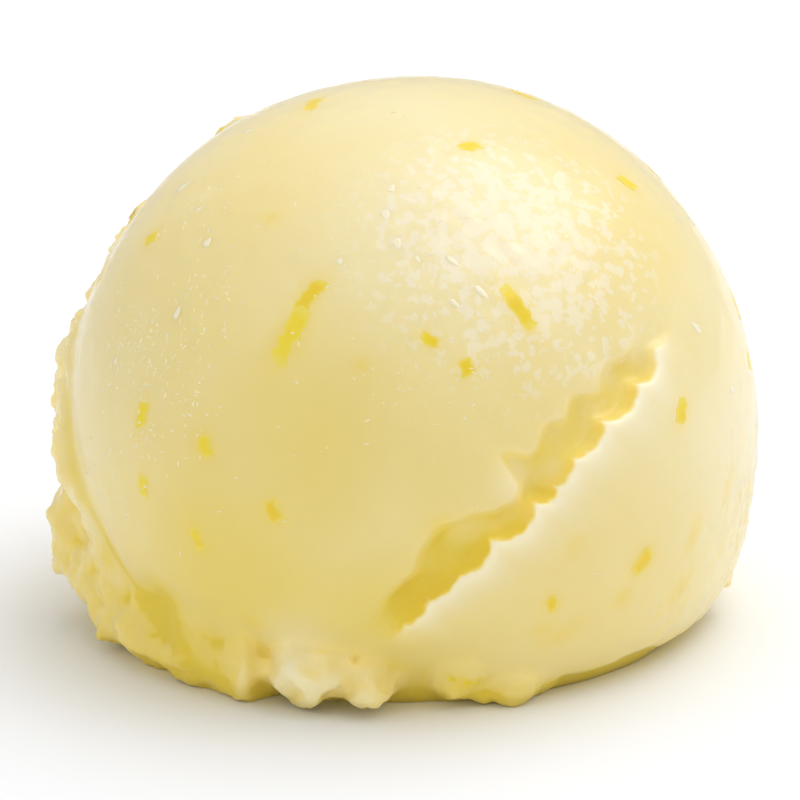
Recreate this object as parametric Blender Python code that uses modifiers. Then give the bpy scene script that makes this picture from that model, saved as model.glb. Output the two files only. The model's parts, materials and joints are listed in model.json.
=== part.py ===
"""A scoop of lemon sorbet, standing on its own flattened base.

The scoop is one frozen mass. A spoon-smoothed cap faces the front and up, and a torn collar runs
round the back of the cap. A sheet of sorbet rolled over the lower right of the ball ends in a
scalloped lip, with an open groove beside it. Crumbs squeezed out under the rim make a skirt on
the table, and shreds of lemon zest lie half sunk in the surface.

Units are metres, +Z is up, the front is -Y, and the origin is on the table under the middle.
Azimuths are in degrees from the front, positive to the right (+X).
"""

import math

import bmesh
import bpy
import numpy as np
from mathutils import Matrix, Vector

MM = 0.001

# The ball and the table.
BALL_RADIUS = 29.5 * MM
BALL_CENTRE = np.array([0.2, 0.1, 16.2]) * MM
SWELL = 0.3 * MM
SWELL_WAVE = 34 * MM
FLOOR_BLOCK = 90 * MM

# Where the ball is flatter or fuller: azimuth, elevation, rise and reach in mm.
SWELLINGS = ((-106.0, 30.0, -0.9, 11.0), (0.0, 84.0, 0.35, 12.0), (83.0, -24.0, 0.6, 4.5))

# The foot draws in under the cap on the left: how far, and the sines of the depression at which it
# begins and is complete.
FOOT_TUCK = 1.3 * MM
TUCK_BEGINS = 0.22
TUCK_COMPLETE = 0.5

# The open hollows under the rim on the left: azimuth, elevation, width and depth in mm.
DENTS = ((-63.5, -14.5, 2.4, 0.3), (-47.5, -18.8, 3.0, 0.4))

# The hem: the ragged lower edge of the rolled sheet, with a strip drawn in under it.
HEM_HEIGHT = 1.2 * MM
HEM_RAG = 0.6 * MM
HEM_DEPTH = 0.8 * MM
HEM_ROUNDING = 0.3 * MM

# The smooth cap that the spoon's bowl pressed.
CAP_AZIMUTH = 8.8
CAP_ELEVATION = 31.7
RIM_ANGLE = 72.5
RIM_WANDER = 0.6 * MM

# Where the cap reaches further round: azimuth, elevation, degrees more, and the cosines from that
# bearing at which it begins and is complete.
RIM_LEANS = (
    (90, 45, 8.0, -0.1, 0.7),
    (100, -20, 9.0, 0.3, 0.8),
    (-74, 0, 6.5, 0.7, 0.96),
)

# The torn collar behind the cap's rim. It stands only on the left, from one sideways share to
# another, and lower round the back.
RIM_GROOVE_DEPTH = 0.25 * MM
RIM_GROOVE_WIDTH = 1.5 * MM
COLLAR_RISE = 1.8 * MM
COLLAR_WIDTH = 2.6 * MM
COLLAR_BEGINS = 0.72
COLLAR_COMPLETE = 0.93
COLLAR_BACK_SHARE = 0.5
COLLAR_FRAY = 3.4 * MM
COLLAR_SLOPE = 2.4 * MM
TORN_SINK = 0.5 * MM
TORN_CRAG = 0.55 * MM
TORN_CRAG_WAVE = 8 * MM
TORN_GRAIN = 0.3 * MM
TORN_GRAIN_WAVE = 4.2 * MM

# The seam where the rolled sheet ends, a circle round a tilted pole.
SEAM_POLE_AZIMUTH = -86.0
SEAM_POLE_ELEVATION = 46.3
SEAM_LATITUDE = -7.9
SEAM_START = 33.0
SEAM_END = 111.0
SEAM_FADE_IN = 15.0
SEAM_FADE_OUT = 12.0
LIP_RISE = 0.5 * MM
LIP_REACH = 7.0 * MM
LIP_ROUNDING = 0.2 * MM
GROOVE_DEPTH = 0.85 * MM
GROOVE_MIDDLE = 1.6 * MM
SHOULDER_WIDTH = 1.3 * MM
SHOULDER_DIP = 0.45 * MM
SHOULDER_REACH = 4.0 * MM

# The points of the lip: angle along the seam, how far each stands out in mm, and the depth in mm of
# the round bite from there to the next.
LIP_POINTS = (
    (26.0, 0.4, 0.5),
    (34.0, 0.4, 0.6),
    (41.9, 0.45, 1.0),
    (48.9, 0.0, 1.0),
    (57.8, 0.4, 0.7),
    (65.7, 0.4, 0.3),
    (70.9, -0.1, 0.6),
    (75.0, 0.3, 1.05),
    (84.2, 0.75, 0.75),
    (91.6, 0.55, 0.35),
    (97.7, 0.65, 0.35),
    (104.0, 0.3, 0.4),
    (113.0, 0.3, 0.4),
)

# The shoulder across the groove from the lip: angle, and its distance from the circle in mm.
SHOULDER_POINTS = (
    (26.0, 2.0),
    (42.0, 2.0),
    (45.5, 1.5),
    (51.1, 2.7),
    (54.5, 1.9),
    (58.8, 3.4),
    (61.9, 2.6),
    (64.8, 3.5),
    (69.6, 2.7),
    (73.2, 4.8),
    (75.2, 1.5),
    (76.8, 1.1),
    (79.6, 1.7),
    (84.4, 3.2),
    (89.0, 4.1),
    (93.0, 3.7),
    (97.0, 2.6),
    (102.3, 2.6),
    (107.0, 2.2),
    (113.0, 1.6),
)

# Crumbs of the skirt in front: azimuth, outermost reach from the axis, height of the middle, half
# sizes along, out and up in mm, and the number of knobs on it.
FRONT_CRUMBS = (
    (-85, 30.7, 8.4, 2.8, 3.6, 3.2, 2),
    (-86, 30.2, 5.2, 2.6, 3.4, 2.8, 2),
    (-74, 29.2, 4.8, 3.0, 3.6, 3.0, 4),
    (-66, 28.5, 3.2, 2.8, 3.6, 2.8, 4),
    (-56, 28.5, 3.2, 3.2, 3.8, 2.9, 5),
    (-42, 28.1, 2.8, 4.4, 3.8, 3.2, 7),
    (-29.5, 27.7, 3.8, 2.2, 3.4, 5.0, 2),
    (-17.5, 28.9, 3.3, 3.7, 3.2, 2.8, 10),
    (-6.5, 28.2, 2.6, 2.0, 3.0, 2.3, 4),
    (9.0, 26.9, 2.7, 2.3, 3.2, 2.5, 3),
    (21.0, 26.5, 1.6, 3.6, 3.2, 1.9, 4),
)
BACK_CRUMBS = 7
BACK_START = 112.0
BACK_END = 260.0
BACK_JITTER = 7.0
BACK_REACH = (26.8, 28.4)
BACK_HEIGHT = (2.4, 4.8)
BACK_KNOBS = 5
KNOB_SIZE = (0.3, 0.5)
KNOB_INSET = 0.95
LUMP_SWELL = 0.16
LUMP_WAVE = 3.2 * MM

# Hollows between the crumbs: azimuth, reach, height and radius in mm.
HOLLOWS = (
    (-51, 26.9, 0.6, 1.4),
    (2.5, 26.6, 1.0, 1.9),
    (38, 26.0, 0.3, 1.1),
    (57, 26.2, 0.3, 1.1),
    (120, 27.0, 4.6, 2.0),
    (171, 27.4, 5.6, 2.2),
    (214, 27.0, 4.2, 1.9),
)

# The zest on the cap: azimuth and elevation on the ball, heading, length and width in mm.
FRONT_ZEST = (
    (-19.5, 37.4, 62, 3.2, 1.4),
    (-21.8, 30.7, 70, 5.0, 1.6),
    (21.0, 35.2, -64, 4.1, 1.2),
    (3.9, 30.9, -30, 1.5, 0.9),
    (10.1, 26.4, -80, 1.4, 1.1),
    (-49.0, 13.5, 82, 2.3, 1.1),
    (-34.6, 11.4, -62, 1.9, 1.2),
    (-47.4, 2.2, -80, 1.8, 1.1),
    (-21.6, 3.0, -60, 1.9, 1.3),
    (-35.6, -3.9, -70, 2.0, 1.0),
    (50.5, 13.9, 60, 2.2, 1.2),
    (41.0, -9.1, 45, 2.4, 1.6),
    (23.8, -13.1, -70, 1.4, 1.0),
    (9.7, -27.7, -10, 2.2, 1.1),
    (25.3, 66.6, 5, 1.8, 1.1),
    (70.0, 50.2, -70, 1.9, 1.2),
    (-66.1, 39.5, 40, 1.5, 1.1),
)
BACK_ZEST = 32
ZEST_THICKNESS = 0.9 * MM
ZEST_PROUD = 0.25 * MM
ZEST_OFF_SEAM = 4.5 * MM

# How finely the solid is faceted.
CUBE_DIVISIONS = 110
BLEND_SIZE = 0.45 * MM
BLEND_PASSES = 1
BODY_TRIANGLES = 10700


def unit(azimuth, elevation):
    """Unit vector at an azimuth from the front and an elevation, both in degrees."""
    a, e = math.radians(azimuth), math.radians(elevation)
    return np.array([math.cos(e) * math.sin(a), -math.cos(e) * math.cos(a), math.sin(e)])


CAP_AXIS = unit(CAP_AZIMUTH, CAP_ELEVATION)
SEAM_POLE = unit(SEAM_POLE_AZIMUTH, SEAM_POLE_ELEVATION)
SEAM_FRONT = np.cross([0.0, 0.0, 1.0], SEAM_POLE)
SEAM_FRONT = SEAM_FRONT / np.linalg.norm(SEAM_FRONT)
SEAM_RIGHT = np.cross(SEAM_POLE, SEAM_FRONT)


def smooth_step(values, start, end):
    """0 before start and 1 after end, with a smooth rise between them."""
    t = np.clip((values - start) / (end - start), 0.0, 1.0)
    return t * t * (3 - 2 * t)


def hump(values, width):
    """A bell curve, 1 at zero, that falls off over width."""
    return np.exp(-((values / width) ** 2))


def eased(places, table):
    """Reads a table of places and values, easing smoothly from each row to the next."""
    knots, values = np.array(table).T
    rows = np.arange(len(knots))
    row = np.interp(places, knots, rows)
    below = np.floor(row)
    return np.interp(below + smooth_step(row - below, 0, 1), rows, values)


def arc_from(directions, azimuth, elevation):
    """Arc length over the ball from the point with the given bearings."""
    return np.arccos(np.clip(directions @ unit(azimuth, elevation), -1, 1)) * BALL_RADIUS


def waves(points, wavelength, seed, count=20):
    """A smooth uneven field, mostly between -1 and 1: plane waves in random directions."""
    random = np.random.default_rng(seed)
    directions = random.normal(size=(count, 3))
    directions /= np.linalg.norm(directions, axis=1, keepdims=True)
    phases = random.uniform(0, 2 * np.pi, count)
    turns = points @ directions.T * (2 * np.pi / wavelength) + phases
    return np.cos(turns).sum(axis=1) / math.sqrt(count)


def seam_coordinates(directions):
    """(angle along the seam in degrees, arc length across it, positive on the ball's side)."""
    latitude = np.arcsin(np.clip(directions @ SEAM_POLE, -1, 1))
    angle = np.degrees(np.arctan2(directions @ SEAM_FRONT, directions @ SEAM_RIGHT))
    return angle, (latitude - math.radians(SEAM_LATITUDE)) * BALL_RADIUS


def seam_presence(angle):
    """1 along the seam, fading to 0 at both ends."""
    fade_out = 1 - smooth_step(angle, SEAM_END - SEAM_FADE_OUT, SEAM_END)
    return smooth_step(angle, SEAM_START, SEAM_START + SEAM_FADE_IN) * fade_out


def lip_edge(angle):
    """How far the lip stands out: a line from point to point, less the round bites between them."""
    places, out, depths = np.array(LIP_POINTS).T
    row = np.interp(angle, places, np.arange(len(places)))
    share = row - np.floor(row)
    bite = depths[np.floor(row).astype(int)] * 4 * share * (1 - share)
    return (np.interp(angle, places, out) - bite) * MM


def seam_relief(directions):
    """Height over the ball along the seam: the raised sheet, the groove and its shoulder."""
    points = directions * BALL_RADIUS
    angle, across = seam_coordinates(directions)
    presence = seam_presence(angle)
    past_lip = across - lip_edge(angle)
    before_shoulder = eased(angle, SHOULDER_POINTS) * MM - across
    open_side = smooth_step(past_lip, -LIP_ROUNDING, LIP_ROUNDING)
    sheet = (1 - open_side) * LIP_RISE * np.exp(np.minimum(past_lip, 0) / LIP_REACH)
    bed = smooth_step(before_shoulder, -0.4 * SHOULDER_WIDTH, 0.6 * SHOULDER_WIDTH)
    hollow = open_side * bed
    depth = GROOVE_DEPTH * (1 + 0.2 * waves(points, 6 * MM, seed=11))
    dip = open_side * SHOULDER_DIP * np.exp(-np.maximum(-before_shoulder, 0) / SHOULDER_REACH)
    return presence * (sheet - hollow * depth - dip)


def behind_rim(directions):
    """Arc length behind the cap's rim, negative on the cap."""
    rim = RIM_ANGLE
    for azimuth, elevation, more, begins, complete in RIM_LEANS:
        rim = rim + more * smooth_step(directions @ unit(azimuth, elevation), begins, complete)
    angle = np.arccos(np.clip(directions @ CAP_AXIS, -1, 1))
    wander = RIM_WANDER * waves(directions * BALL_RADIUS, 11 * MM, seed=5)
    return (angle - np.radians(rim)) * BALL_RADIUS + wander


def rim_relief(directions):
    """Height over the ball by the rim: the collar, the groove inside it and the torn crags."""
    points = directions * BALL_RADIUS
    behind = behind_rim(directions)
    left = smooth_step(-directions[:, 0], COLLAR_BEGINS, COLLAR_COMPLETE)
    back = smooth_step(directions[:, 1], -0.1, 0.4)
    collar = COLLAR_RISE * np.maximum(left, COLLAR_BACK_SHARE * back)
    collar = collar * smooth_step(-directions[:, 2], -0.5, 0.2)
    collar = collar * (1 - smooth_step(-directions[:, 2], -0.05, 0.25))
    relief = collar * hump(behind - COLLAR_WIDTH, COLLAR_WIDTH)
    relief = relief * smooth_step(behind, -COLLAR_SLOPE, COLLAR_SLOPE)
    relief = relief - RIM_GROOVE_DEPTH * hump(behind, RIM_GROOVE_WIDTH) * left
    crags = TORN_CRAG * waves(points, TORN_CRAG_WAVE, seed=7) - TORN_SINK
    crags = crags + TORN_GRAIN * waves(points, TORN_GRAIN_WAVE, seed=8)
    return relief + smooth_step(behind, 0, COLLAR_FRAY) * crags


def under_hem(directions):
    """1 under the hem on the right and round the back, 0 elsewhere; its line is ragged."""
    points = directions * BALL_RADIUS
    height = BALL_CENTRE[2] + points[:, 2]
    ragged = 0.7 * waves(points, 9 * MM, seed=45) + 0.3 * waves(points, 3.2 * MM, seed=46)
    over = height - HEM_HEIGHT - HEM_RAG * ragged
    under = 1 - smooth_step(over, -HEM_ROUNDING, HEM_ROUNDING)
    return under * smooth_step(np.maximum(directions[:, 0], directions[:, 1]), 0.1, 0.3)


def ball_radius(directions):
    """The ball's radius in each direction: sphere, swellings, foot, dents, hem, rim and seam."""
    points = directions * BALL_RADIUS
    radius = BALL_RADIUS + SWELL * waves(points, SWELL_WAVE, seed=3)
    for azimuth, elevation, rise, reach in SWELLINGS:
        radius += rise * MM * hump(arc_from(directions, azimuth, elevation), reach * MM)
    tucked = smooth_step(-directions[:, 2], TUCK_BEGINS, TUCK_COMPLETE)
    radius -= FOOT_TUCK * tucked * (1 - smooth_step(directions[:, 0], 0.05, 0.35))
    for azimuth, elevation, width, depth in DENTS:
        radius -= depth * MM * hump(arc_from(directions, azimuth, elevation), width * MM)
    radius -= HEM_DEPTH * under_hem(directions)
    return radius + rim_relief(directions) + seam_relief(directions)


def skirt_lumps():
    """The skirt's lumps, in mm: azimuth, reach and height of the middle, and three half sizes.

    Each crumb is a core with knobs on its outer face. The front crumbs lie where they are named,
    and the others go round the hidden sides by a seeded rule.
    """
    random = np.random.default_rng(17)
    crumbs = list(FRONT_CRUMBS)
    for azimuth in np.linspace(BACK_START, BACK_END, BACK_CRUMBS):
        place = (
            azimuth + random.uniform(-BACK_JITTER, BACK_JITTER),
            random.uniform(*BACK_REACH),
            random.uniform(*BACK_HEIGHT),
        )
        sizes = tuple(random.uniform((2.6, 2.4, 2.2), (4.2, 3.0, 3.2)))
        crumbs.append(place + sizes + (BACK_KNOBS,))
    lumps = []
    for azimuth, reach, height, along, out, up, knobs in crumbs:
        middle = reach - out
        lumps.append((azimuth, middle, height, along, out, up))
        for _ in range(knobs):
            turn, tilt = np.radians(random.uniform((-75, -35), (75, 70)))
            size = random.uniform(*KNOB_SIZE) * min(along, 2.6)
            aside = 0.78 * along * math.sin(turn) * math.cos(tilt) / reach
            forward = (out - KNOB_INSET) * math.cos(turn) * math.cos(tilt)
            rise = 0.74 * up * math.sin(tilt)
            place = (azimuth + math.degrees(aside), middle + forward, height + rise)
            lumps.append(place + (size, size, size))
    return lumps


def new_mesh_object(name, mesh, collection):
    """Links a mesh as a named object in a collection."""
    thing = bpy.data.objects.new(name, mesh)
    collection.objects.link(thing)
    return thing


def points_of(mesh):
    """The mesh's points as an array."""
    points = np.empty(len(mesh.vertices) * 3)
    mesh.vertices.foreach_get("co", points)
    return points.reshape(-1, 3)


def place_points(mesh, points):
    """Moves the mesh's points to an array of places."""
    mesh.vertices.foreach_set("co", np.asarray(points, dtype=np.float32).ravel())
    mesh.update()


def build_ball(collection):
    """The main ball: a divided cube swollen to a sphere, then shaped by ball_radius."""
    mesh = bpy.data.meshes.new("sorbet_ball")
    shape = bmesh.new()
    bmesh.ops.create_cube(shape, size=2.0)
    bmesh.ops.subdivide_edges(
        shape, edges=shape.edges, cuts=CUBE_DIVISIONS - 1, use_grid_fill=True
    )
    shape.to_mesh(mesh)
    shape.free()
    directions = np.tan(points_of(mesh) * math.pi / 4)
    directions /= np.linalg.norm(directions, axis=1, keepdims=True)
    place_points(mesh, BALL_CENTRE + directions * ball_radius(directions)[:, None])
    return new_mesh_object("sorbet_scoop", mesh, collection)


def build_lump(name, azimuth, reach, height, sizes, seed, collection):
    """A rounded uneven lump: an icosphere stretched along, out and up, and roughened."""
    mesh = bpy.data.meshes.new(name)
    shape = bmesh.new()
    bmesh.ops.create_icosphere(shape, subdivisions=3, radius=1.0)
    shape.to_mesh(mesh)
    shape.free()
    points = points_of(mesh) * sizes
    points *= 1 + LUMP_SWELL * waves(points, LUMP_WAVE, seed)[:, None]
    turn = np.array(Matrix.Rotation(math.radians(azimuth), 3, "Z"))
    centre = BALL_CENTRE * [1, 1, 0] + unit(azimuth, 0) * reach + [0, 0, height]
    place_points(mesh, points @ turn.T + centre)
    return new_mesh_object(name, mesh, collection)


def build_skirt(collection):
    """The crumbs squeezed out on the table, as overlapping lumps."""
    for index, (azimuth, reach, height, along, out, up) in enumerate(skirt_lumps()):
        sizes = np.array([along, out, up]) * MM
        build_lump(
            f"lump_{index:03d}", azimuth, reach * MM, height * MM, sizes, 200 + index, collection
        )


def build_hollows(collection):
    """Cutters for the hollows between the crumbs."""
    for index, (azimuth, reach, height, radius) in enumerate(HOLLOWS):
        sizes = np.full(3, radius * MM)
        build_lump(
            f"hollow_{index}", azimuth, reach * MM, height * MM, sizes, 400 + index, collection
        )


def build_floor_block(collection):
    """A block under the table's plane, which cuts the scoop's flat base."""
    mesh = bpy.data.meshes.new("floor_block")
    shape = bmesh.new()
    bmesh.ops.create_cube(shape, size=FLOOR_BLOCK)
    bmesh.ops.translate(shape, verts=shape.verts, vec=Vector((0, 0, -FLOOR_BLOCK / 2)))
    shape.to_mesh(mesh)
    shape.free()
    return new_mesh_object("floor_block", mesh, collection)


def build_zest(name, azimuth, elevation, heading, length, width, collection):
    """One shred of zest: a thin tapered strip bent to the ball and sunk until little stands proud."""
    mesh = bpy.data.meshes.new(name)
    shape = bmesh.new()
    bmesh.ops.create_cube(shape, size=1.0)
    lengthwise = [e for e in shape.edges if abs(e.verts[0].co.x - e.verts[1].co.x) > 0.5]
    bmesh.ops.subdivide_edges(shape, edges=lengthwise, cuts=2)
    shape.to_mesh(mesh)
    shape.free()
    points = points_of(mesh)
    points[:, 1] *= 1 - 0.6 * np.abs(points[:, 0])
    points[:, 1] += 0.5 * points[:, 0] ** 2
    points *= [length, width, ZEST_THICKNESS]
    out = unit(azimuth, elevation)
    radius = float(ball_radius(out[None, :])[0])
    points[:, 2] += ZEST_PROUD - 0.5 * ZEST_THICKNESS
    points[:, 2] -= (points[:, 0] ** 2 + points[:, 1] ** 2) / (2 * radius)
    right = np.cross([0.0, 0.0, 1.0], out)
    right /= np.linalg.norm(right)
    up = np.cross(out, right)
    turn = math.radians(heading)
    along = right * math.cos(turn) + up * math.sin(turn)
    beside = np.cross(out, along)
    places = BALL_CENTRE + out * radius + points @ np.array([along, beside, out])
    place_points(mesh, places)
    return new_mesh_object(name, mesh, collection)


def near_seam(direction):
    """True where a shred would lie over the groove."""
    angle, across = seam_coordinates(direction[None, :])
    near = abs(across[0] - GROOVE_MIDDLE) < ZEST_OFF_SEAM
    return bool(near and SEAM_START < angle[0] < SEAM_END)


def scatter_zest(collection):
    """The shreds on the cap as seen, and others over the rest of the ball by a seeded rule."""
    for index, (azimuth, elevation, heading, length, width) in enumerate(FRONT_ZEST):
        build_zest(
            f"front_zest_{index:02d}",
            azimuth,
            elevation,
            heading,
            length * MM,
            width * MM,
            collection,
        )
    random = np.random.default_rng(29)
    placed = 0
    while placed < BACK_ZEST:
        azimuth = random.uniform(78, 285)
        elevation = math.degrees(math.asin(random.uniform(-0.25, 0.97)))
        heading = random.uniform(0, 180)
        length = random.uniform(1.5, 4.5) * MM
        width = random.uniform(1.0, 1.6) * MM
        if near_seam(unit(azimuth, elevation)):
            continue
        build_zest(
            f"back_zest_{placed:02d}", azimuth, elevation, heading, length, width, collection
        )
        placed += 1


def apply_modifiers(thing):
    """Replaces the object's mesh with its modified one."""
    graph = bpy.context.evaluated_depsgraph_get()
    shaped = bpy.data.meshes.new_from_object(thing.evaluated_get(graph))
    thing.modifiers.clear()
    thing.data = shaped


def apply_boolean(thing, collection, operation, solver):
    """Joins or cuts a collection's meshes into an object, and removes them."""
    modifier = thing.modifiers.new(operation.lower(), "BOOLEAN")
    modifier.operand_type = "COLLECTION"
    modifier.collection = collection
    modifier.operation = operation
    modifier.solver = solver
    apply_modifiers(thing)
    for helper in list(collection.objects):
        bpy.data.objects.remove(helper)


def blend_and_facet(thing):
    """Melts the joined lumps into one skin, softens it, and facets it by how much it bends."""
    blend = thing.modifiers.new("blend", "REMESH")
    blend.mode = "VOXEL"
    blend.voxel_size = BLEND_SIZE
    soften = thing.modifiers.new("soften", "SMOOTH")
    soften.factor = 0.5
    soften.iterations = BLEND_PASSES
    apply_modifiers(thing)
    facet = thing.modifiers.new("facet", "DECIMATE")
    facet.ratio = BODY_TRIANGLES / (2 * len(thing.data.polygons))
    apply_modifiers(thing)


def drop_scraps(thing):
    """Keeps only the largest connected piece of the mesh."""
    shape = bmesh.new()
    shape.from_mesh(thing.data)
    waiting = set(shape.verts)
    pieces = []
    while waiting:
        piece = {waiting.pop()}
        edge_of_piece = list(piece)
        while edge_of_piece:
            point = edge_of_piece.pop()
            beside = {edge.other_vert(point) for edge in point.link_edges} - piece
            piece |= beside
            edge_of_piece.extend(beside)
        waiting -= piece
        pieces.append(piece)
    pieces.sort(key=len)
    scraps = [point for piece in pieces[:-1] for point in piece]
    bmesh.ops.delete(shape, geom=scraps, context="VERTS")
    shape.to_mesh(thing.data)
    shape.free()


def sorbet_material():
    """Frozen lemon sorbet: pale yellow, damp and slightly see-through."""
    material = bpy.data.materials.new("lemon_sorbet")
    material.use_nodes = True
    surface = material.node_tree.nodes["Principled BSDF"]
    surface.inputs["Base Color"].default_value = (0.93, 0.83, 0.48, 1)
    surface.inputs["Roughness"].default_value = 0.38
    surface.inputs["Metallic"].default_value = 0.0
    surface.inputs["Subsurface Weight"].default_value = 0.6
    surface.inputs["Subsurface Scale"].default_value = 2 * MM
    return material


def new_collection(name):
    """A collection linked to the scene."""
    collection = bpy.data.collections.new(name)
    bpy.context.scene.collection.children.link(collection)
    return collection


def main():
    for leftover in list(bpy.data.objects):
        bpy.data.objects.remove(leftover)
    scoop_collection = new_collection("lemon_sorbet_scoop")
    joined = new_collection("joined_pieces")
    cutters = new_collection("cutters")

    scoop = build_ball(scoop_collection)
    build_skirt(joined)
    apply_boolean(scoop, joined, "UNION", "MANIFOLD")
    build_hollows(cutters)
    apply_boolean(scoop, cutters, "DIFFERENCE", "MANIFOLD")
    blend_and_facet(scoop)

    build_floor_block(cutters)
    apply_boolean(scoop, cutters, "DIFFERENCE", "EXACT")
    scatter_zest(joined)
    apply_boolean(scoop, joined, "UNION", "EXACT")
    drop_scraps(scoop)

    scoop.data.materials.clear()
    scoop.data.materials.append(sorbet_material())
    scoop.data.shade_smooth()
    scoop.data.set_sharp_from_angle(angle=math.radians(38))


main()
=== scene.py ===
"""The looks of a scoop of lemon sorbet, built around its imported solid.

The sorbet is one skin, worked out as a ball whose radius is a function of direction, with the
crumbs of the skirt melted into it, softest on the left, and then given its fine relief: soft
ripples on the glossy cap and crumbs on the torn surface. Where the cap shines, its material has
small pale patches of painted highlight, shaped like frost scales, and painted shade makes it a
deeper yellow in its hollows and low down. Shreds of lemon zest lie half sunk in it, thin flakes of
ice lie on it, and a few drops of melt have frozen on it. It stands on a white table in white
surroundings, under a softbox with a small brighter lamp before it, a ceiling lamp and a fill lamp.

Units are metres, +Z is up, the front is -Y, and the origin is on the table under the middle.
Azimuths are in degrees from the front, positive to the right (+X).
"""

import json
import logging
import math
from dataclasses import dataclass, field
from enum import Enum

import bpy
import numpy as np
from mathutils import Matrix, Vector

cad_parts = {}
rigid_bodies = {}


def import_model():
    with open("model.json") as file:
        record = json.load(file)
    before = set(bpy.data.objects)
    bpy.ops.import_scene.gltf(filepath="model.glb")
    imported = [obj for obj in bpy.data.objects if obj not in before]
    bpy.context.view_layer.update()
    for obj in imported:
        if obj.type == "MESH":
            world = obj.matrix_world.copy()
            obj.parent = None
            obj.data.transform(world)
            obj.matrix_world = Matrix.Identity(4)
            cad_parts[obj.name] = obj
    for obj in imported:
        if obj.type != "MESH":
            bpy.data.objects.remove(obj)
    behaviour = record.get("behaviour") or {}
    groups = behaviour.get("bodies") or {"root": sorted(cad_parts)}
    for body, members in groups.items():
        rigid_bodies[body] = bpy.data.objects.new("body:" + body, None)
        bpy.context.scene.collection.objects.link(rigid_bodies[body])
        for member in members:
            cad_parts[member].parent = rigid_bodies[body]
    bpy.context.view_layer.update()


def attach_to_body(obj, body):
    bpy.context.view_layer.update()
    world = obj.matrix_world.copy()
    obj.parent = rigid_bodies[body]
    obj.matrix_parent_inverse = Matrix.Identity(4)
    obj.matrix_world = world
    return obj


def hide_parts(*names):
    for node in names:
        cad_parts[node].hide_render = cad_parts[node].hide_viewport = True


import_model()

Array = np.ndarray
MM = 0.001
BODY = "root"
SOLID = "sorbet_scoop"
BALL_RADIUS = 29.5 * MM
BALL_CENTRE = (0.2 * MM, 0.1 * MM, 16.2 * MM)

# Odd numbers that mix a lattice cell's three numbers and a seed into one, and that turn it into the
# next of a row of random numbers.
CELL_MIXERS = (73856093, 19349663, 83492791)
SEED_MIXER = 7919
NEXT_FACTOR = 6364136223846793005
NEXT_TERM = 1442695040888963407
# A shift that keeps the numbers of the cells above zero.
CELL_SHIFT = 4096

log = logging.getLogger("lemon_sorbet")


class Trace(Enum):
    """What a mesh keeps for each point, under the name by which a material reads it."""

    # Painted shade: a deeper yellow in hollows, in the groove and low down.
    HOLLOW_SHADE = "hollow"
    TORN = "torn"
    # Pale rime, painted highlight and sheen, and ridges painted paler as painted light.
    RIME_AND_HIGHLIGHT = "rime_and_highlight"
    TINT = "tint"
    RIPENESS = "ripeness"
    EDGE = "edge"
    # Where the cap is glossy and rippled, and where its highlight patches are painted.
    GLAZE_AND_HIGHLIGHT = "glaze_and_highlight"


def unit(azimuth: float, elevation: float) -> Array:
    """Gives a direction by its bearings.

    Args:
        azimuth: Degrees from the front, positive to the right.
        elevation: Degrees above the horizon.

    Returns:
        The unit vector (cos e sin a, -cos e cos a, sin e).
    """
    a, e = math.radians(azimuth), math.radians(elevation)
    return np.array([math.cos(e) * math.sin(a), -math.cos(e) * math.cos(a), math.sin(e)])


def lying_axes(azimuth: float, elevation: float, heading: float) -> tuple[Array, Array, Array]:
    """Gives the axes of a thing that lies on the ball.

    Args:
        azimuth: Degrees from the front, positive to the right.
        elevation: Degrees above the horizon.
        heading: Degrees by which its length is turned from level, anticlockwise from outside.

    Returns:
        Unit vectors outwards, along it and across it.
    """
    out = unit(azimuth, elevation)
    right = np.cross([0.0, 0.0, 1.0], out)
    right /= np.linalg.norm(right)
    turn = math.radians(heading)
    along = right * math.cos(turn) + np.cross(out, right) * math.sin(turn)
    return out, along, np.cross(out, along)


def angle_from(directions: Array, azimuth: float, elevation: float) -> Array:
    """Gives the angle in radians from a bearing to each direction."""
    return np.arccos(np.clip(directions @ unit(azimuth, elevation), -1, 1))


def smooth_step(values: Array, start: float, end: float) -> Array:
    """Rises smoothly from 0 to 1: t squared times (3 - 2t).

    Args:
        values: The places to read.
        start: Where the rise begins.
        end: Where it ends.

    Returns:
        0 before start and 1 after end.
    """
    t = np.clip((values - start) / (end - start), 0.0, 1.0)
    return t * t * (3 - 2 * t)


def step_over(values: Array, limits: tuple, length: float = MM) -> Array:
    """Rises smoothly from 0 to 1 between two limits that are counted in a length, such as mm."""
    start, end = limits
    return smooth_step(values, start * length, end * length)


def risen(values: Array, rule: tuple) -> Array:
    """Rises smoothly from 0 by a rule: the most, and the two limits of step_over in mm."""
    most, *limits = rule
    return most * step_over(values, limits)


def fallen(values: Array, rule: tuple) -> Array:
    """Falls smoothly to 0 by a rule: the most, and the two limits of step_over in mm."""
    most, *limits = rule
    return most * (1 - step_over(values, limits))


def hump(values: Array, width: Array | float) -> Array:
    """Gives a bell curve, exp(-(value / width) squared), which is 1 at zero."""
    return np.exp(-((values / width) ** 2))


def eased(places: Array, table: tuple) -> Array:
    """Reads a table by place, easing from one row's value to the next row's.

    Args:
        places: Where to read.
        table: Rows of a place and a value, in order.

    Returns:
        The values, which run between two rows as t squared times (3 - 2t).
    """
    knots, values = np.array(table).T
    rows = np.arange(len(knots))
    row = np.interp(places, knots, rows)
    below = np.floor(row)
    return np.interp(below + smooth_step(row - below, 0, 1), rows, values)


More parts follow.
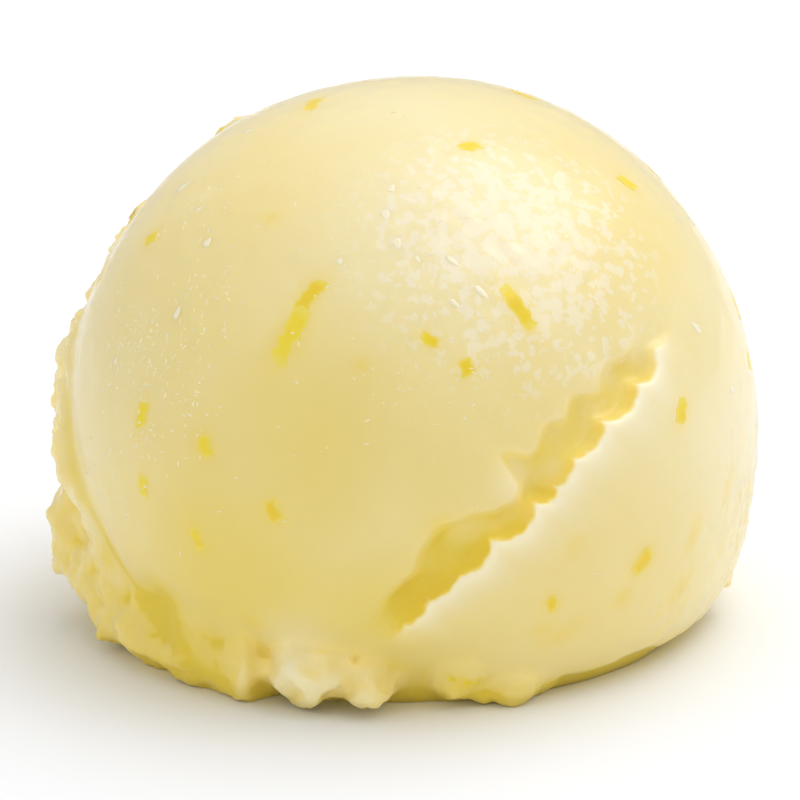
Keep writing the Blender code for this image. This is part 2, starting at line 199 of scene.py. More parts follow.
def waves(points: Array, wavelength: float, seed: int, count: int = 20) -> Array:
    """Adds up plane waves in random directions, a smooth uneven field.

    Args:
        points: Places, one row each.
        wavelength: Length of every wave.
        seed: Picks the directions and phases.
        count: How many waves there are.

    Returns:
        The sum of cosines over the root of their count, mostly between -1 and 1.
    """
    random = np.random.default_rng(seed)
    directions = random.normal(size=(count, 3))
    directions /= np.linalg.norm(directions, axis=1, keepdims=True)
    phases = random.uniform(0, 2 * np.pi, count)
    turns = points @ directions.T * (2 * np.pi / wavelength) + phases
    return np.cos(turns).sum(axis=1) / math.sqrt(count)


def lattice_shift(cell: Array, seed: int) -> Array:
    """Gives each cell of a cubic lattice its own random point by mixing the cell's numbers.

    Args:
        cell: Whole numbers of the cells, one row each.
        seed: Picks the pattern.

    Returns:
        Three fractions between 0 and 1 for each cell.
    """
    x, y, z = (cell[:, i].astype(np.uint64) * np.uint64(CELL_MIXERS[i]) for i in range(3))
    mixed = (x ^ y ^ z) + np.uint64(seed * SEED_MIXER)
    fold_bits = np.uint64(29)
    kept_bits = 24
    fractions = []
    for _ in range(3):
        mixed = mixed * np.uint64(NEXT_FACTOR) + np.uint64(NEXT_TERM)
        scrambled = mixed ^ (mixed >> fold_bits)
        top = scrambled >> np.uint64(64 - kept_bits)
        fractions.append(top.astype(float) / 2**kept_bits)
    return np.stack(fractions, axis=1)


def crumbs(points: Array, size: float, seed: int) -> Array:
    """Gives the height of round crumbs packed side by side.

    Each cell of a lattice holds one crumb's middle. With the nearest middle at distance a and the
    next at b, the height is 1 - (2a / (a + b)) squared: a dome that meets its neighbours in a
    crease.

    Args:
        points: Places, one row each.
        size: How far apart the crumbs' middles lie.
        seed: Picks the pattern.

    Returns:
        1 on top of a crumb and 0 in the crease.
    """
    scaled = points / size
    home = np.floor(scaled).astype(np.int64)
    nearest = np.full(len(points), np.inf)
    second = np.full(len(points), np.inf)
    for step in np.ndindex(3, 3, 3):
        cell = home + np.array(step) - 1
        middle = cell + lattice_shift(cell + CELL_SHIFT, seed)
        distance = np.linalg.norm(scaled - middle, axis=1)
        second = np.minimum(second, np.maximum(nearest, distance))
        nearest = np.minimum(nearest, distance)
    return 1 - (2 * nearest / (nearest + second)) ** 2


def sphere_grid(divisions: int) -> tuple[Array, Array]:
    """Makes a unit sphere of six square grids.

    On each side of a cube two parameters run from -1 to 1. The tangents of their eighth turns place
    a point on that side, and the point is pulled to unit length. Points that two sides share are
    merged.

    Args:
        divisions: Squares along the edge of a side.

    Returns:
        The points, and the squares as rows of four point numbers, facing outwards.
    """
    steps = np.tan(np.linspace(-1, 1, divisions + 1) * math.pi / 4)
    u, v = np.meshgrid(steps, steps, indexing="ij")
    row = np.arange(divisions)
    corner = (row[:, None] * (divisions + 1) + row[None, :]).ravel()
    square = np.stack([corner, corner + divisions + 1, corner + divisions + 2, corner + 1], axis=1)
    sides, squares = [], []
    for axis in range(3):
        for sign in (1, -1):
            side = np.empty((u.size, 3))
            side[:, axis] = sign
            side[:, (axis + 1) % 3] = u.ravel()
            side[:, (axis + 2) % 3] = sign * v.ravel()
            squares.append(square + len(sides) * u.size)
            sides.append(side)
    points = np.concatenate(sides)
    _, first, merged = np.unique(
        np.round(points, 6), axis=0, return_index=True, return_inverse=True
    )
    points = points[first] / np.linalg.norm(points[first], axis=1, keepdims=True)
    return points, merged.ravel()[np.concatenate(squares)]


def new_mesh(name: str, points: Array, faces: Array) -> bpy.types.Mesh:
    """Puts arrays into a mesh.

    Args:
        name: The mesh's name.
        points: Places, one row each.
        faces: Point numbers, one row for each face.

    Returns:
        The mesh.
    """
    mesh = bpy.data.meshes.new(name)
    mesh.vertices.add(len(points))
    mesh.vertices.foreach_set("co", np.asarray(points, dtype=np.float32).ravel())
    mesh.loops.add(faces.size)
    mesh.loops.foreach_set("vertex_index", faces.astype(np.int32).ravel())
    mesh.polygons.add(len(faces))
    starts = np.arange(0, faces.size, faces.shape[1], dtype=np.int32)
    mesh.polygons.foreach_set("loop_start", starts)
    mesh.update(calc_edges=True)
    return mesh


def new_object(name: str, mesh: bpy.types.Mesh) -> bpy.types.Object:
    """Links a mesh as a named object of the scene.

    Args:
        name: The object's name.
        mesh: Its mesh.

    Returns:
        The object.
    """
    thing = bpy.data.objects.new(name, mesh)
    bpy.context.scene.collection.objects.link(thing)
    return thing


def points_of(mesh: bpy.types.Mesh) -> Array:
    """Reads the mesh's points as rows.

    Args:
        mesh: The mesh to read.

    Returns:
        The places, one row each.
    """
    points = np.empty(len(mesh.vertices) * 3, dtype=np.float32)
    mesh.vertices.foreach_get("co", points)
    return points.reshape(-1, 3).astype(float)


def normals_of(mesh: bpy.types.Mesh) -> Array:
    """Reads the mesh's point normals as rows.

    Args:
        mesh: The mesh to read.

    Returns:
        The unit normals, one row each.
    """
    normals = np.empty(len(mesh.vertices) * 3, dtype=np.float32)
    mesh.vertex_normals.foreach_get("vector", normals)
    return normals.reshape(-1, 3).astype(float)


def edges_of(mesh: bpy.types.Mesh) -> Array:
    """Reads the mesh's edges as rows of two point numbers.

    Args:
        mesh: The mesh to read.

    Returns:
        The point numbers, one row for each edge.
    """
    edges = np.empty(len(mesh.edges) * 2, dtype=np.int32)
    mesh.edges.foreach_get("vertices", edges)
    return edges.reshape(-1, 2)


def place_points(mesh: bpy.types.Mesh, points: Array) -> None:
    """Moves the mesh's points to rows of places."""
    mesh.vertices.foreach_set("co", points.astype(np.float32).ravel())
    mesh.update()


def store(mesh: bpy.types.Mesh, trace: Trace, values: Array) -> None:
    """Keeps one number for each point of a mesh, which a material reads by name."""
    attribute = mesh.attributes.new(trace.value, "FLOAT", "POINT")
    attribute.data.foreach_set("value", values.astype(np.float32))


def apply_modifiers(thing: bpy.types.Object) -> None:
    """Replaces the object's mesh with its modified one.

    Args:
        thing: The object, which has no modifier left afterwards.
    """
    graph = bpy.context.evaluated_depsgraph_get()
    shaped = bpy.data.meshes.new_from_object(thing.evaluated_get(graph))
    thing.modifiers.clear()
    thing.data = shaped


def spread(values: Array, edges: Array, rounds: int) -> Array:
    """Replaces each point's row with the mean of its neighbours' rows, round after round.

    Args:
        values: One row for each point.
        edges: Rows of two point numbers.
        rounds: How often.

    Returns:
        The smoothed rows.
    """
    ends = np.concatenate([edges[:, 0], edges[:, 1]])
    others = np.concatenate([edges[:, 1], edges[:, 0]])
    counts = np.maximum(np.bincount(ends, minlength=len(values)), 1)
    for _ in range(rounds):
        columns = [
            np.bincount(ends, weights=values[others, column], minlength=len(values)) / counts
            for column in range(values.shape[1])
        ]
        values = 0.5 * (values + np.stack(columns, axis=1))
    return values


@dataclass(frozen=True)
class Seam:
    """The seam where the rolled sheet ends: a circle round a tilted pole, with its groove."""

    ball_radius: float = BALL_RADIUS
    pole_azimuth: float = -86.0
    pole_elevation: float = 46.3
    latitude: float = -7.9
    start: float = 33.0
    end: float = 111.0
    fade_in: float = 15.0
    fade_out: float = 12.0
    lip_rise: float = 0.5 * MM
    lip_reach: float = 7.0 * MM
    pale_reach: float = 2.4 * MM
    wall_place: float = 0.2 * MM
    wall_width: float = 0.55 * MM
    nibble: float = 1.4 * MM
    nibble_depth: float = 0.14 * MM
    nibble_drift: float = 2.9 * MM
    rounding: float = 0.2 * MM
    # Where the colour changes before the lip's edge, in shares of the rounding.
    colour_edge: tuple = (-1.6, -0.4)
    depth: float = 0.85 * MM
    depth_swell: float = 0.2
    depth_wave: float = 6 * MM
    shoulder_width: float = 1.3 * MM
    # Where the shoulder falls, and where the colour changes on it, in shares of its width.
    shoulder_fall: tuple = (-0.4, 0.6)
    shoulder_colour: tuple = (-0.5, 0.5)
    middle: float = 1.6 * MM
    dip: float = 0.45 * MM
    dip_reach: float = 4.0 * MM
    # The points of the lip: angle, how far each stands out in mm, and the depth in mm of the round
    # bite from there to the next.
    lip_points: tuple = (
        (26.0, 0.4, 0.5),
        (34.0, 0.4, 0.6),
        (41.9, 0.45, 1.0),
        (48.9, 0.0, 1.0),
        (57.8, 0.4, 0.7),
        (65.7, 0.4, 0.3),
        (70.9, -0.1, 0.6),
        (75.0, 0.3, 1.05),
        (84.2, 0.75, 0.75),
        (91.6, 0.55, 0.35),
        (97.7, 0.65, 0.35),
        (104.0, 0.3, 0.4),
        (113.0, 0.3, 0.4),
    )
    # The shoulder across the groove from the lip: angle, and its distance from the circle in mm.
    shoulder_points: tuple = (
        (26.0, 2.0),
        (42.0, 2.0),
        (45.5, 1.5),
        (51.1, 2.7),
        (54.5, 1.9),
        (58.8, 3.4),
        (61.9, 2.6),
        (64.8, 3.5),
        (69.6, 2.7),
        (73.2, 4.8),
        (75.2, 1.5),
        (76.8, 1.1),
        (79.6, 1.7),
        (84.4, 3.2),
        (89.0, 4.1),
        (93.0, 3.7),
        (97.0, 2.6),
        (102.3, 2.6),
        (107.0, 2.2),
        (113.0, 1.6),
    )

    def coordinates(self, directions: Array) -> tuple[Array, Array]:
        """Finds where directions lie by the seam.

        Args:
            directions: Unit vectors, one row each.

        Returns:
            The angle along the seam in degrees, and the arc across it, positive towards the groove.
        """
        pole = unit(self.pole_azimuth, self.pole_elevation)
        front = np.cross([0.0, 0.0, 1.0], pole)
        front /= np.linalg.norm(front)
        right = np.cross(pole, front)
        latitude = np.arcsin(np.clip(directions @ pole, -1, 1))
        angle = np.degrees(np.arctan2(directions @ front, directions @ right))
        return angle, (latitude - math.radians(self.latitude)) * self.ball_radius

    def presence(self, angle: Array) -> Array:
        """Gives 1 along the seam, fading to 0 at both ends."""
        fade_out = 1 - smooth_step(angle, self.end - self.fade_out, self.end)
        return smooth_step(angle, self.start, self.start + self.fade_in) * fade_out

    def lip_edge(self, angle: Array) -> Array:
        """Gives how far the lip stands out past the circle.

        It is a straight line from each point to the next, less a bite of 4t(1 - t) times its depth,
        where t runs from 0 to 1 between them, and less a row of small nibbles: the size of a sine
        whose phase drifts by another sine.

        Args:
            angle: The angle along the seam in degrees.

        Returns:
            The arc from the circle to the lip's edge.
        """
        places, out, depths = np.array(self.lip_points).T
        row = np.interp(angle, places, np.arange(len(places)))
        t = row - np.floor(row)
        bite = depths[np.floor(row).astype(int)] * 4 * t * (1 - t)
        arc = np.radians(angle) * self.ball_radius
        nibbles = np.abs(np.sin(np.pi * arc / self.nibble + np.sin(arc / self.nibble_drift)))
        return (np.interp(angle, places, out) - bite) * MM - self.nibble_depth * nibbles

    def shares(self, directions: Array) -> tuple[Array, Array, Array]:
        """Finds how far directions lie in the groove and beside it.

        Args:
            directions: Unit vectors, one row each.

        Returns:
            The presence of the seam, the arc past the lip's edge, and the arc left before the
            shoulder.
        """
        angle, across = self.coordinates(directions)
        shoulder = eased(angle, self.shoulder_points) * MM
        return self.presence(angle), across - self.lip_edge(angle), shoulder - across

    def relief(self, directions: Array) -> Array:
        """Gives the height over the ball: the raised sheet, less the groove and the dip beside it.

        The sheet rises towards its edge as exp(arc / reach). The groove falls from its shoulder by
        a smooth step to a bed whose depth waves vary. The dip fades as exp(-arc / reach).

        Args:
            directions: Unit vectors, one row each.

        Returns:
            The height for each direction.
        """
        points = directions * self.ball_radius
        presence, past_lip, left = self.shares(directions)
        open_side = smooth_step(past_lip, -self.rounding, self.rounding)
        sheet = (1 - open_side) * self.lip_rise * np.exp(np.minimum(past_lip, 0) / self.lip_reach)
        hollow = open_side * step_over(left, self.shoulder_fall, self.shoulder_width)
        depth = self.depth * (1 + self.depth_swell * waves(points, self.depth_wave, seed=11))
        fall = np.exp(-np.maximum(-left, 0) / self.dip_reach)
        return presence * (sheet - hollow * depth - open_side * self.dip * fall)

    def groove_share(self, directions: Array) -> Array:
        """Gives 1 in the groove from the lip's edge on, falling to 0 on its shoulder.

        Args:
            directions: Unit vectors, one row each.

        Returns:
            A share from 0 to 1 for each direction.
        """
        presence, past_lip, left = self.shares(directions)
        open_side = step_over(past_lip, self.colour_edge, self.rounding)
        return presence * open_side * step_over(left, self.shoulder_colour, self.shoulder_width)

    def wall_share(self, directions: Array) -> Array:
        """Gives 1 on the wall under the lip's edge: a bell curve past the lip."""
        presence, past_lip, _ = self.shares(directions)
        return presence * hump(past_lip - self.wall_place, self.wall_width)

    def lip_share(self, directions: Array) -> Array:
        """Gives 1 on the lip's edge, falling to 0 over the sheet as exp(arc / pale_reach).

        Args:
            directions: Unit vectors, one row each.

        Returns:
            A share from 0 to 1 for each direction.
        """
        presence, past_lip, _ = self.shares(directions)
        sheet_side = 1 - step_over(past_lip, self.colour_edge, self.rounding)
        return presence * sheet_side * np.exp(np.minimum(past_lip, 0) / self.pale_reach)


@dataclass(frozen=True)
class Rim:
    """The rim of the spoon-smoothed cap, and the torn collar behind it."""

    ball_radius: float = BALL_RADIUS
    cap_azimuth: float = 8.8
    cap_elevation: float = 31.7
    angle: float = 72.5
    # Where the cap reaches further round: azimuth, elevation, degrees more, and the cosines from
    # that bearing at which it begins and is complete.
    leans: tuple = (
        (90, 45, 8.0, -0.1, 0.7),
        (100, -20, 9.0, 0.3, 0.8),
        (-74, 0, 6.5, 0.7, 0.96),
    )
    wander: float = 0.6 * MM
    wander_wave: float = 11 * MM
    groove_depth: float = 0.25 * MM
    groove_width: float = 1.5 * MM
    collar_rise: float = 1.8 * MM
    collar_width: float = 2.6 * MM
    collar_slope: float = 2.4 * MM
    # Where the collar begins and is complete: its sideways share on the left, and its share towards
    # the back, where it is lower.
    collar_left: tuple = (0.72, 0.93)
    collar_back: tuple = (-0.1, 0.4)
    back_share: float = 0.5
    # The sines of the depression between which the collar grows from above, and between which it
    # fades again towards the foot.
    collar_growth: tuple = (-0.5, 0.2)
    collar_fade: tuple = (-0.05, 0.25)
    fray: float = 3.4 * MM
    torn_sink: float = 0.5 * MM
    torn_crag: float = 0.55 * MM
    crag_wave: float = 8 * MM
    torn_grain: float = 0.3 * MM
    grain_wave: float = 4.2 * MM

    def behind(self, directions: Array) -> Array:
        """Gives the arc length behind the rim, which wanders by waves, negative on the cap.

        Args:
            directions: Unit vectors, one row each.

        Returns:
            The arc for each direction.
        """
        points = directions * self.ball_radius
        angle = angle_from(directions, self.cap_azimuth, self.cap_elevation)
        rim = self.angle
        for azimuth, elevation, more, begins, complete in self.leans:
            rim = rim + more * smooth_step(directions @ unit(azimuth, elevation), begins, complete)
        wander = self.wander * waves(points, self.wander_wave, seed=5)
        return (angle - np.radians(rim)) * self.ball_radius + wander

    def torn_share(self, directions: Array) -> Array:
        """Gives 0 on the cap and 1 on the torn surface behind it."""
        return smooth_step(self.behind(directions), 0, self.fray)

    def relief(self, directions: Array) -> Array:
        """Gives the height over the ball: the collar, less the groove inside it, and the crags.

        The collar is a bell curve behind the rim, full on the left and half as high round the back.
        It fades upwards and towards the foot. The crags are waves of two lengths, wherever the
        surface is torn.

        Args:
            directions: Unit vectors, one row each.

        Returns:
            The height for each direction.
        """
        points = directions * self.ball_radius
        behind = self.behind(directions)
        torn = smooth_step(behind, 0, self.fray)
        left = smooth_step(-directions[:, 0], *self.collar_left)
        back = smooth_step(directions[:, 1], *self.collar_back)
        collar = self.collar_rise * np.maximum(left, self.back_share * back)
        collar = collar * smooth_step(-directions[:, 2], *self.collar_growth)
        collar = collar * (1 - smooth_step(-directions[:, 2], *self.collar_fade))
        relief = collar * hump(behind - self.collar_width, self.collar_width)
        relief = relief * smooth_step(behind, -self.collar_slope, self.collar_slope)
        relief = relief - self.groove_depth * hump(behind, self.groove_width) * left
        crags = self.torn_crag * waves(points, self.crag_wave, seed=7) - self.torn_sink
        crags = crags + self.torn_grain * waves(points, self.grain_wave, seed=8)
        return relief + torn * crags


@dataclass(frozen=True)
class Ball:
    """The main ball of sorbet, whose radius is a function of direction."""

    radius: float = BALL_RADIUS
    centre: tuple = BALL_CENTRE
    # The foot draws in under the cap on the left: depth, the sines of the depression at which it
    # begins and is complete, and the shares to the right between which it ends.
    foot_tuck: float = 1.3 * MM
    tuck_depression: tuple = (0.22, 0.5)
    tuck_end: tuple = (0.05, 0.35)
    swell: float = 0.3 * MM
    swell_wave: float = 34 * MM
    # The ball is flatter on the left, and fuller on top and low on the right: azimuth, elevation,
    # rise and reach in mm.
    swellings: tuple = ((-106, 30, -0.9, 11.0), (0, 84, 0.35, 12.0), (83, -24, 0.6, 4.5))
    # The open hollows under the rim on the left: azimuth, elevation, depth and reach in mm.
    dents: tuple = ((-63.5, -14.5, 0.3, 2.4), (-47.5, -18.8, 0.4, 3.0))
    # The hem: the ragged lower edge of the rolled sheet, with a strip drawn in under it.
    hem_height: float = 1.2 * MM
    hem_rag: float = 0.6 * MM
    hem_depth: float = 0.8 * MM
    hem_rounding: float = 0.3 * MM
    # The waves that make it ragged: share, length and seed. The strip begins and is complete at
    # these shares towards the right or the back.
    hem_waves: tuple = ((0.7, 9 * MM, 45), (0.3, 3.2 * MM, 46))
    hem_sides: tuple = (0.1, 0.3)
    seam: Seam = Seam()
    rim: Rim = Rim()

    def radius_at(self, directions: Array) -> Array:
        """Gives the radius by direction.

        It is the sphere's radius with a slow swell and a bell curve for each swelling, less a tuck
        at the foot, dents and the strip under the hem, plus the relief of the rim and of the seam.

        Args:
            directions: Unit vectors, one row each.

        Returns:
            The radius for each direction.
        """
        points = directions * self.radius
        radius = self.radius + self.swell * waves(points, self.swell_wave, seed=3)
        tucked = smooth_step(-directions[:, 2], *self.tuck_depression)
        tucked = tucked * (1 - smooth_step(directions[:, 0], *self.tuck_end))
        radius = radius + self.bells(directions, self.swellings)
        radius = radius - self.foot_tuck * tucked - self.dent_depth(directions)
        radius = radius - self.hem_depth * self.under_hem(directions)
        return radius + self.rim.relief(directions) + self.seam.relief(directions)

    def bells(self, directions: Array, places: tuple) -> Array:
        """Adds up bell curves, each round a middle.

        Args:
            directions: Unit vectors, one row each.
            places: Azimuth, elevation, and height and reach in mm, for each.

        Returns:
            The sum of their heights.
        """
        height = np.zeros(len(directions))
        for azimuth, elevation, most, reach in places:
            arc = angle_from(directions, azimuth, elevation) * self.radius
            height = height + most * MM * hump(arc, reach * MM)
        return height

    def patches(self, directions: Array, places: tuple) -> Array:
        """Gives the most of several bell curves, each round a middle.

        Args:
            directions: Unit vectors, one row each.
            places: Azimuth, elevation, reach in mm and the share in the middle, for each.

        Returns:
            The largest share at each direction.
        """
        share = np.zeros(len(directions))
        for azimuth, elevation, reach, most in places:
            arc = angle_from(directions, azimuth, elevation) * self.radius
            share = np.maximum(share, most * hump(arc, reach * MM))
        return share

    def under_hem(self, directions: Array) -> Array:
        """Gives 1 under the hem on the right and round the back, and 0 elsewhere.

        The hem's height is a level line ragged by waves of two lengths.

        Args:
            directions: Unit vectors, one row each.

        Returns:
            A share from 0 to 1 for each direction.
        """
        points = directions * self.radius
        height = self.centre[2] + points[:, 2]
        ragged = sum(share * waves(points, length, seed) for share, length, seed in self.hem_waves)
        over = height - self.hem_height - self.hem_rag * ragged
        under = 1 - smooth_step(over, -self.hem_rounding, self.hem_rounding)
        return under * smooth_step(np.maximum(directions[:, 0], directions[:, 1]), *self.hem_sides)

    def dent_depth(self, directions: Array) -> Array:
        """Gives how deep the dents are: a bell curve round the middle of each."""
        return self.bells(directions, self.dents)

    def directions_of(self, points: Array) -> tuple[Array, Array]:
        """Gives the unit vectors from the ball's centre to points, and their distances.

        Args:
            points: Places, one row each.

        Returns:
            The unit vectors, one row each, and the distances.
        """
        spokes = points - np.array(self.centre)
        distances = np.linalg.norm(spokes, axis=1)
        return spokes / distances[:, None], distances


@dataclass(frozen=True)
class Skirt:
    """The crumbs squeezed out under the rim, and the hollows between them."""

    # Azimuth, outermost reach, height of the middle, half sizes along, out and up in mm, and knobs.
    front: tuple = (
        (-85, 30.7, 8.4, 2.8, 3.6, 3.2, 2),
        (-86, 30.2, 5.2, 2.6, 3.4, 2.8, 2),
        (-74, 29.2, 4.8, 3.0, 3.6, 3.0, 4),
        (-66, 28.5, 3.2, 2.8, 3.6, 2.8, 4),
        (-56, 28.5, 3.2, 3.2, 3.8, 2.9, 5),
        (-42, 28.1, 2.8, 4.4, 3.8, 3.2, 7),
        (-29.5, 27.7, 3.8, 2.2, 3.4, 5.0, 2),
        (-17.5, 28.9, 3.3, 3.7, 3.2, 2.8, 10),
        (-6.5, 28.2, 2.6, 2.0, 3.0, 2.3, 4),
        (9.0, 26.9, 2.7, 2.3, 3.2, 2.5, 3),
        (21.0, 26.5, 1.6, 3.6, 3.2, 1.9, 4),
    )
    back_count: int = 7
    back_start: float = 112.0
    back_end: float = 260.0
    back_stagger: float = 7.0
    back_reach: tuple = (26.8, 28.4)
    back_height: tuple = (2.4, 4.8)
    back_sizes: tuple = ((2.6, 2.4, 2.2), (4.2, 3.0, 3.2))
    back_knobs: int = 5
    # The knobs: size in shares of the core's half length or of the longest that counts, depth in
    # the core in mm, least and most turn and tilt, and places in shares of the core's half sizes.
    knob_size: tuple = (0.3, 0.5)
    knob_longest: float = 2.6
    knob_inset: float = 0.95
    knob_bearings: tuple = ((-75, -35), (75, 70))
    knob_aside: float = 0.78
    knob_rise: float = 0.74
    swell: float = 0.16
    swell_wave: float = 3.2 * MM
    # The seeds of the rule for the hidden sides, and of the first lump's and hollow's waves.
    seed: int = 17
    lump_seed: int = 200
    hollow_seed: int = 400
    # Azimuth, reach, height and radius in mm.
    hollows: tuple = (
        (-51, 26.9, 0.6, 1.4),
        (2.5, 26.6, 1.0, 1.9),
        (38, 26.0, 0.3, 1.1),
        (57, 26.2, 0.3, 1.1),
        (120, 27.0, 4.6, 2.0),
        (171, 27.4, 5.6, 2.2),
        (214, 27.0, 4.2, 1.9),
    )
    lump_divisions: int = 12
    # The big front crumb keeps its shape more than the others: its azimuth and half width.
    crisp_azimuth: float = -16.0
    crisp_width: float = 10.5
    crisp_fade: float = 4.0

    def lumps(self) -> list[tuple]:
        """Lists the lumps: azimuth, reach and height of the middle, and three half sizes, in mm.

        Each crumb is a core with knobs on its outer face. The front crumbs lie where they are
        named, and the others go round the hidden sides by a seeded rule.

        Returns:
            One row for each core and each knob.
        """
        random = np.random.default_rng(self.seed)
        cores = list(self.front)
        for azimuth in np.linspace(self.back_start, self.back_end, self.back_count):
            place = (
                azimuth + random.uniform(-self.back_stagger, self.back_stagger),
                random.uniform(*self.back_reach),
                random.uniform(*self.back_height),
            )
            sizes = tuple(random.uniform(*self.back_sizes))
            cores.append(place + sizes + (self.back_knobs,))
        lumps = []
        for azimuth, reach, height, along, out, up, knobs in cores:
            middle = reach - out
            lumps.append((azimuth, middle, height, along, out, up))
            for _ in range(knobs):
                turn, tilt = np.radians(random.uniform(*self.knob_bearings))
                size = random.uniform(*self.knob_size) * min(along, self.knob_longest)
                aside = self.knob_aside * along * math.sin(turn) * math.cos(tilt) / reach
                forward = (out - self.knob_inset) * math.cos(turn) * math.cos(tilt)
                rise = self.knob_rise * up * math.sin(tilt)
                place = (azimuth + math.degrees(aside), middle + forward, height + rise)
                lumps.append(place + (size, size, size))
        return lumps

    def lump_points(self, lump: tuple, sphere: Array, centre: Array, seed: int) -> Array:
        """Shapes one lump: a sphere stretched along, out and up, and swollen by waves.

        Args:
            lump: Azimuth, reach, height and three half sizes, in degrees and mm.
            sphere: Unit vectors, one row each.
            centre: The middle of the ball.
            seed: Picks the waves.

        Returns:
            The lump's points in place.
        """
        azimuth, reach, height, along, out, up = lump
        points = sphere * np.array([along, out, up]) * MM
        points = points * (1 + self.swell * waves(points, self.swell_wave, seed)[:, None])
        outwards = unit(azimuth, 0)
        aside = unit(azimuth + 90, 0)
        place = centre * [1, 1, 0] + outwards * reach * MM + np.array([0, 0, height * MM])
        return place + points @ np.array([aside, -outwards, [0.0, 0.0, 1.0]])

    def crisp_share(self, directions: Array) -> Array:
        """Gives 1 from end to end of the big front crumb, and 0 beyond it.

        Args:
            directions: Unit vectors, one row each.

        Returns:
            A share from 0 to 1 for each direction.
        """
        azimuth = np.degrees(np.arctan2(directions[:, 0], -directions[:, 1]))
        aside = np.abs(azimuth - self.crisp_azimuth)
        return 1 - smooth_step(aside, self.crisp_width, self.crisp_width + self.crisp_fade)

    def surfaces(self, centre: Array) -> tuple[list[Array], list[Array], Array]:
        """Gives the points of every lump and of every hollow, and the squares that they share.

        Args:
            centre: The middle of the ball.

        Returns:
            The lumps' points, the hollows' points, and the squares.
        """
        sphere, squares = sphere_grid(self.lump_divisions)
        lumps = [
            self.lump_points(lump, sphere, centre, self.lump_seed + index)
            for index, lump in enumerate(self.lumps())
        ]
        hollows = [
            self.lump_points(hollow + hollow[3:] * 2, sphere, centre, self.hollow_seed + index)
            for index, hollow in enumerate(self.hollows)
        ]
        return lumps, hollows, squares


def joined(pieces: list[Array], squares: Array) -> tuple[Array, Array]:
    """Joins pieces that share one set of squares into one set of points and squares."""
    steps = np.cumsum([0] + [len(piece) for piece in pieces[:-1]])
    return np.concatenate(pieces), np.concatenate([squares + step for step in steps])


@dataclass
class Graph:
    """A material's or a group's nodes, with short ways to add and join them."""

    tree: bpy.types.NodeTree

    def node(self, kind: str, **settings: object) -> bpy.types.Node:
        """Adds a node and sets its properties by name.

        Args:
            kind: The node's type.
            **settings: The properties to set.

        Returns:
            The node.
        """
        made = self.tree.nodes.new(kind)
        for name, value in settings.items():
            setattr(made, name, value)
        return made

    def feed(self, node: bpy.types.Node, **inputs: object) -> bpy.types.Node:
        """Links or sets a node's inputs; an underscore in a name stands for a space.

        Args:
            node: The node whose inputs are fed.
            **inputs: An output socket to link, or a plain value to set.

        Returns:
            The same node.
        """
        for name, value in inputs.items():
            self.put(node.inputs[name.replace("_", " ")], value)
        return node

    def put(self, socket: bpy.types.NodeSocket, value: object) -> None:
        """Links an output to an input socket, or sets a plain value on it.

        Args:
            socket: The input.
            value: An output socket to link, or a plain value.
        """
        if isinstance(value, bpy.types.NodeSocket):
            self.tree.links.new(value, socket)
        else:
            socket.default_value = value

    def maths(self, operation: str, *numbers: object) -> bpy.types.NodeSocket:
        """Adds a Math node on one to three numbers.

        Args:
            operation: What the node works out.
            *numbers: Output sockets or plain numbers.

        Returns:
            The result's socket.
        """
        made = self.node("ShaderNodeMath", operation=operation)
        for socket, number in zip(made.inputs, numbers):
            self.put(socket, number)
        return made.outputs[0]

    def ramp(self, value: object, start: float, end: float) -> bpy.types.NodeSocket:
        """Adds a smooth rise from 0 at start to 1 at end.

        Args:
            value: What is read.
            start: Where the rise begins.
            end: Where it ends.

        Returns:
            The result's socket.
        """
        made = self.node("ShaderNodeMapRange", interpolation_type="SMOOTHSTEP")
        self.feed(made, Value=value, From_Min=start, From_Max=end)
        return made.outputs["Result"]

    def mix(self, factor: object, first: object, second: object) -> bpy.types.NodeSocket:
        """Mixes two colours by a factor.

        Args:
            factor: The share of the second colour.
            first: A colour or its socket.
            second: A colour or its socket.

        Returns:
            The mixed colour's socket.
        """
        made = self.node("ShaderNodeMix", data_type="RGBA")
        self.put(made.inputs[0], factor)
        self.put(made.inputs[6], first)
        self.put(made.inputs[7], second)
        return made.outputs[2]

    def value_of(self, trace: Trace) -> bpy.types.NodeSocket:
        """Reads a number that the mesh keeps for each point."""
        return self.node("ShaderNodeAttribute", attribute_name=trace.value).outputs["Fac"]

    def place(self) -> bpy.types.NodeSocket:
        """Reads the place of a point in its piece's own axes."""
        return self.node("ShaderNodeTexCoord").outputs["Object"]

    def group(self, made: bpy.types.NodeTree, **inputs: object) -> bpy.types.NodeSocket:
        """Places a node group, feeds its inputs and gives its output."""
        return self.feed(self.node("ShaderNodeGroup", node_tree=made), **inputs).outputs[0]


def new_group(name: str, inputs: dict[str, str], output: str) -> tuple[Graph, dict, bpy.types.Node]:
    """Makes a node group that puts out one number.

    Args:
        name: The group's name.
        inputs: What follows NodeSocket in the kind of each input, by the input's name.
        output: The name of the output.

    Returns:
        The graph, its inputs' sockets by name, and the node that takes what it puts out.
    """
    tree = bpy.data.node_groups.new(name, "ShaderNodeTree")
    for label, kind in inputs.items():
        tree.interface.new_socket(label, in_out="INPUT", socket_type="NodeSocket" + kind)
    tree.interface.new_socket(output, in_out="OUTPUT", socket_type="NodeSocketFloat")
    graph = Graph(tree)
    given = graph.node("NodeGroupInput")
    out = graph.node("NodeGroupOutput")
    return graph, {label: given.outputs[label] for label in inputs}, out


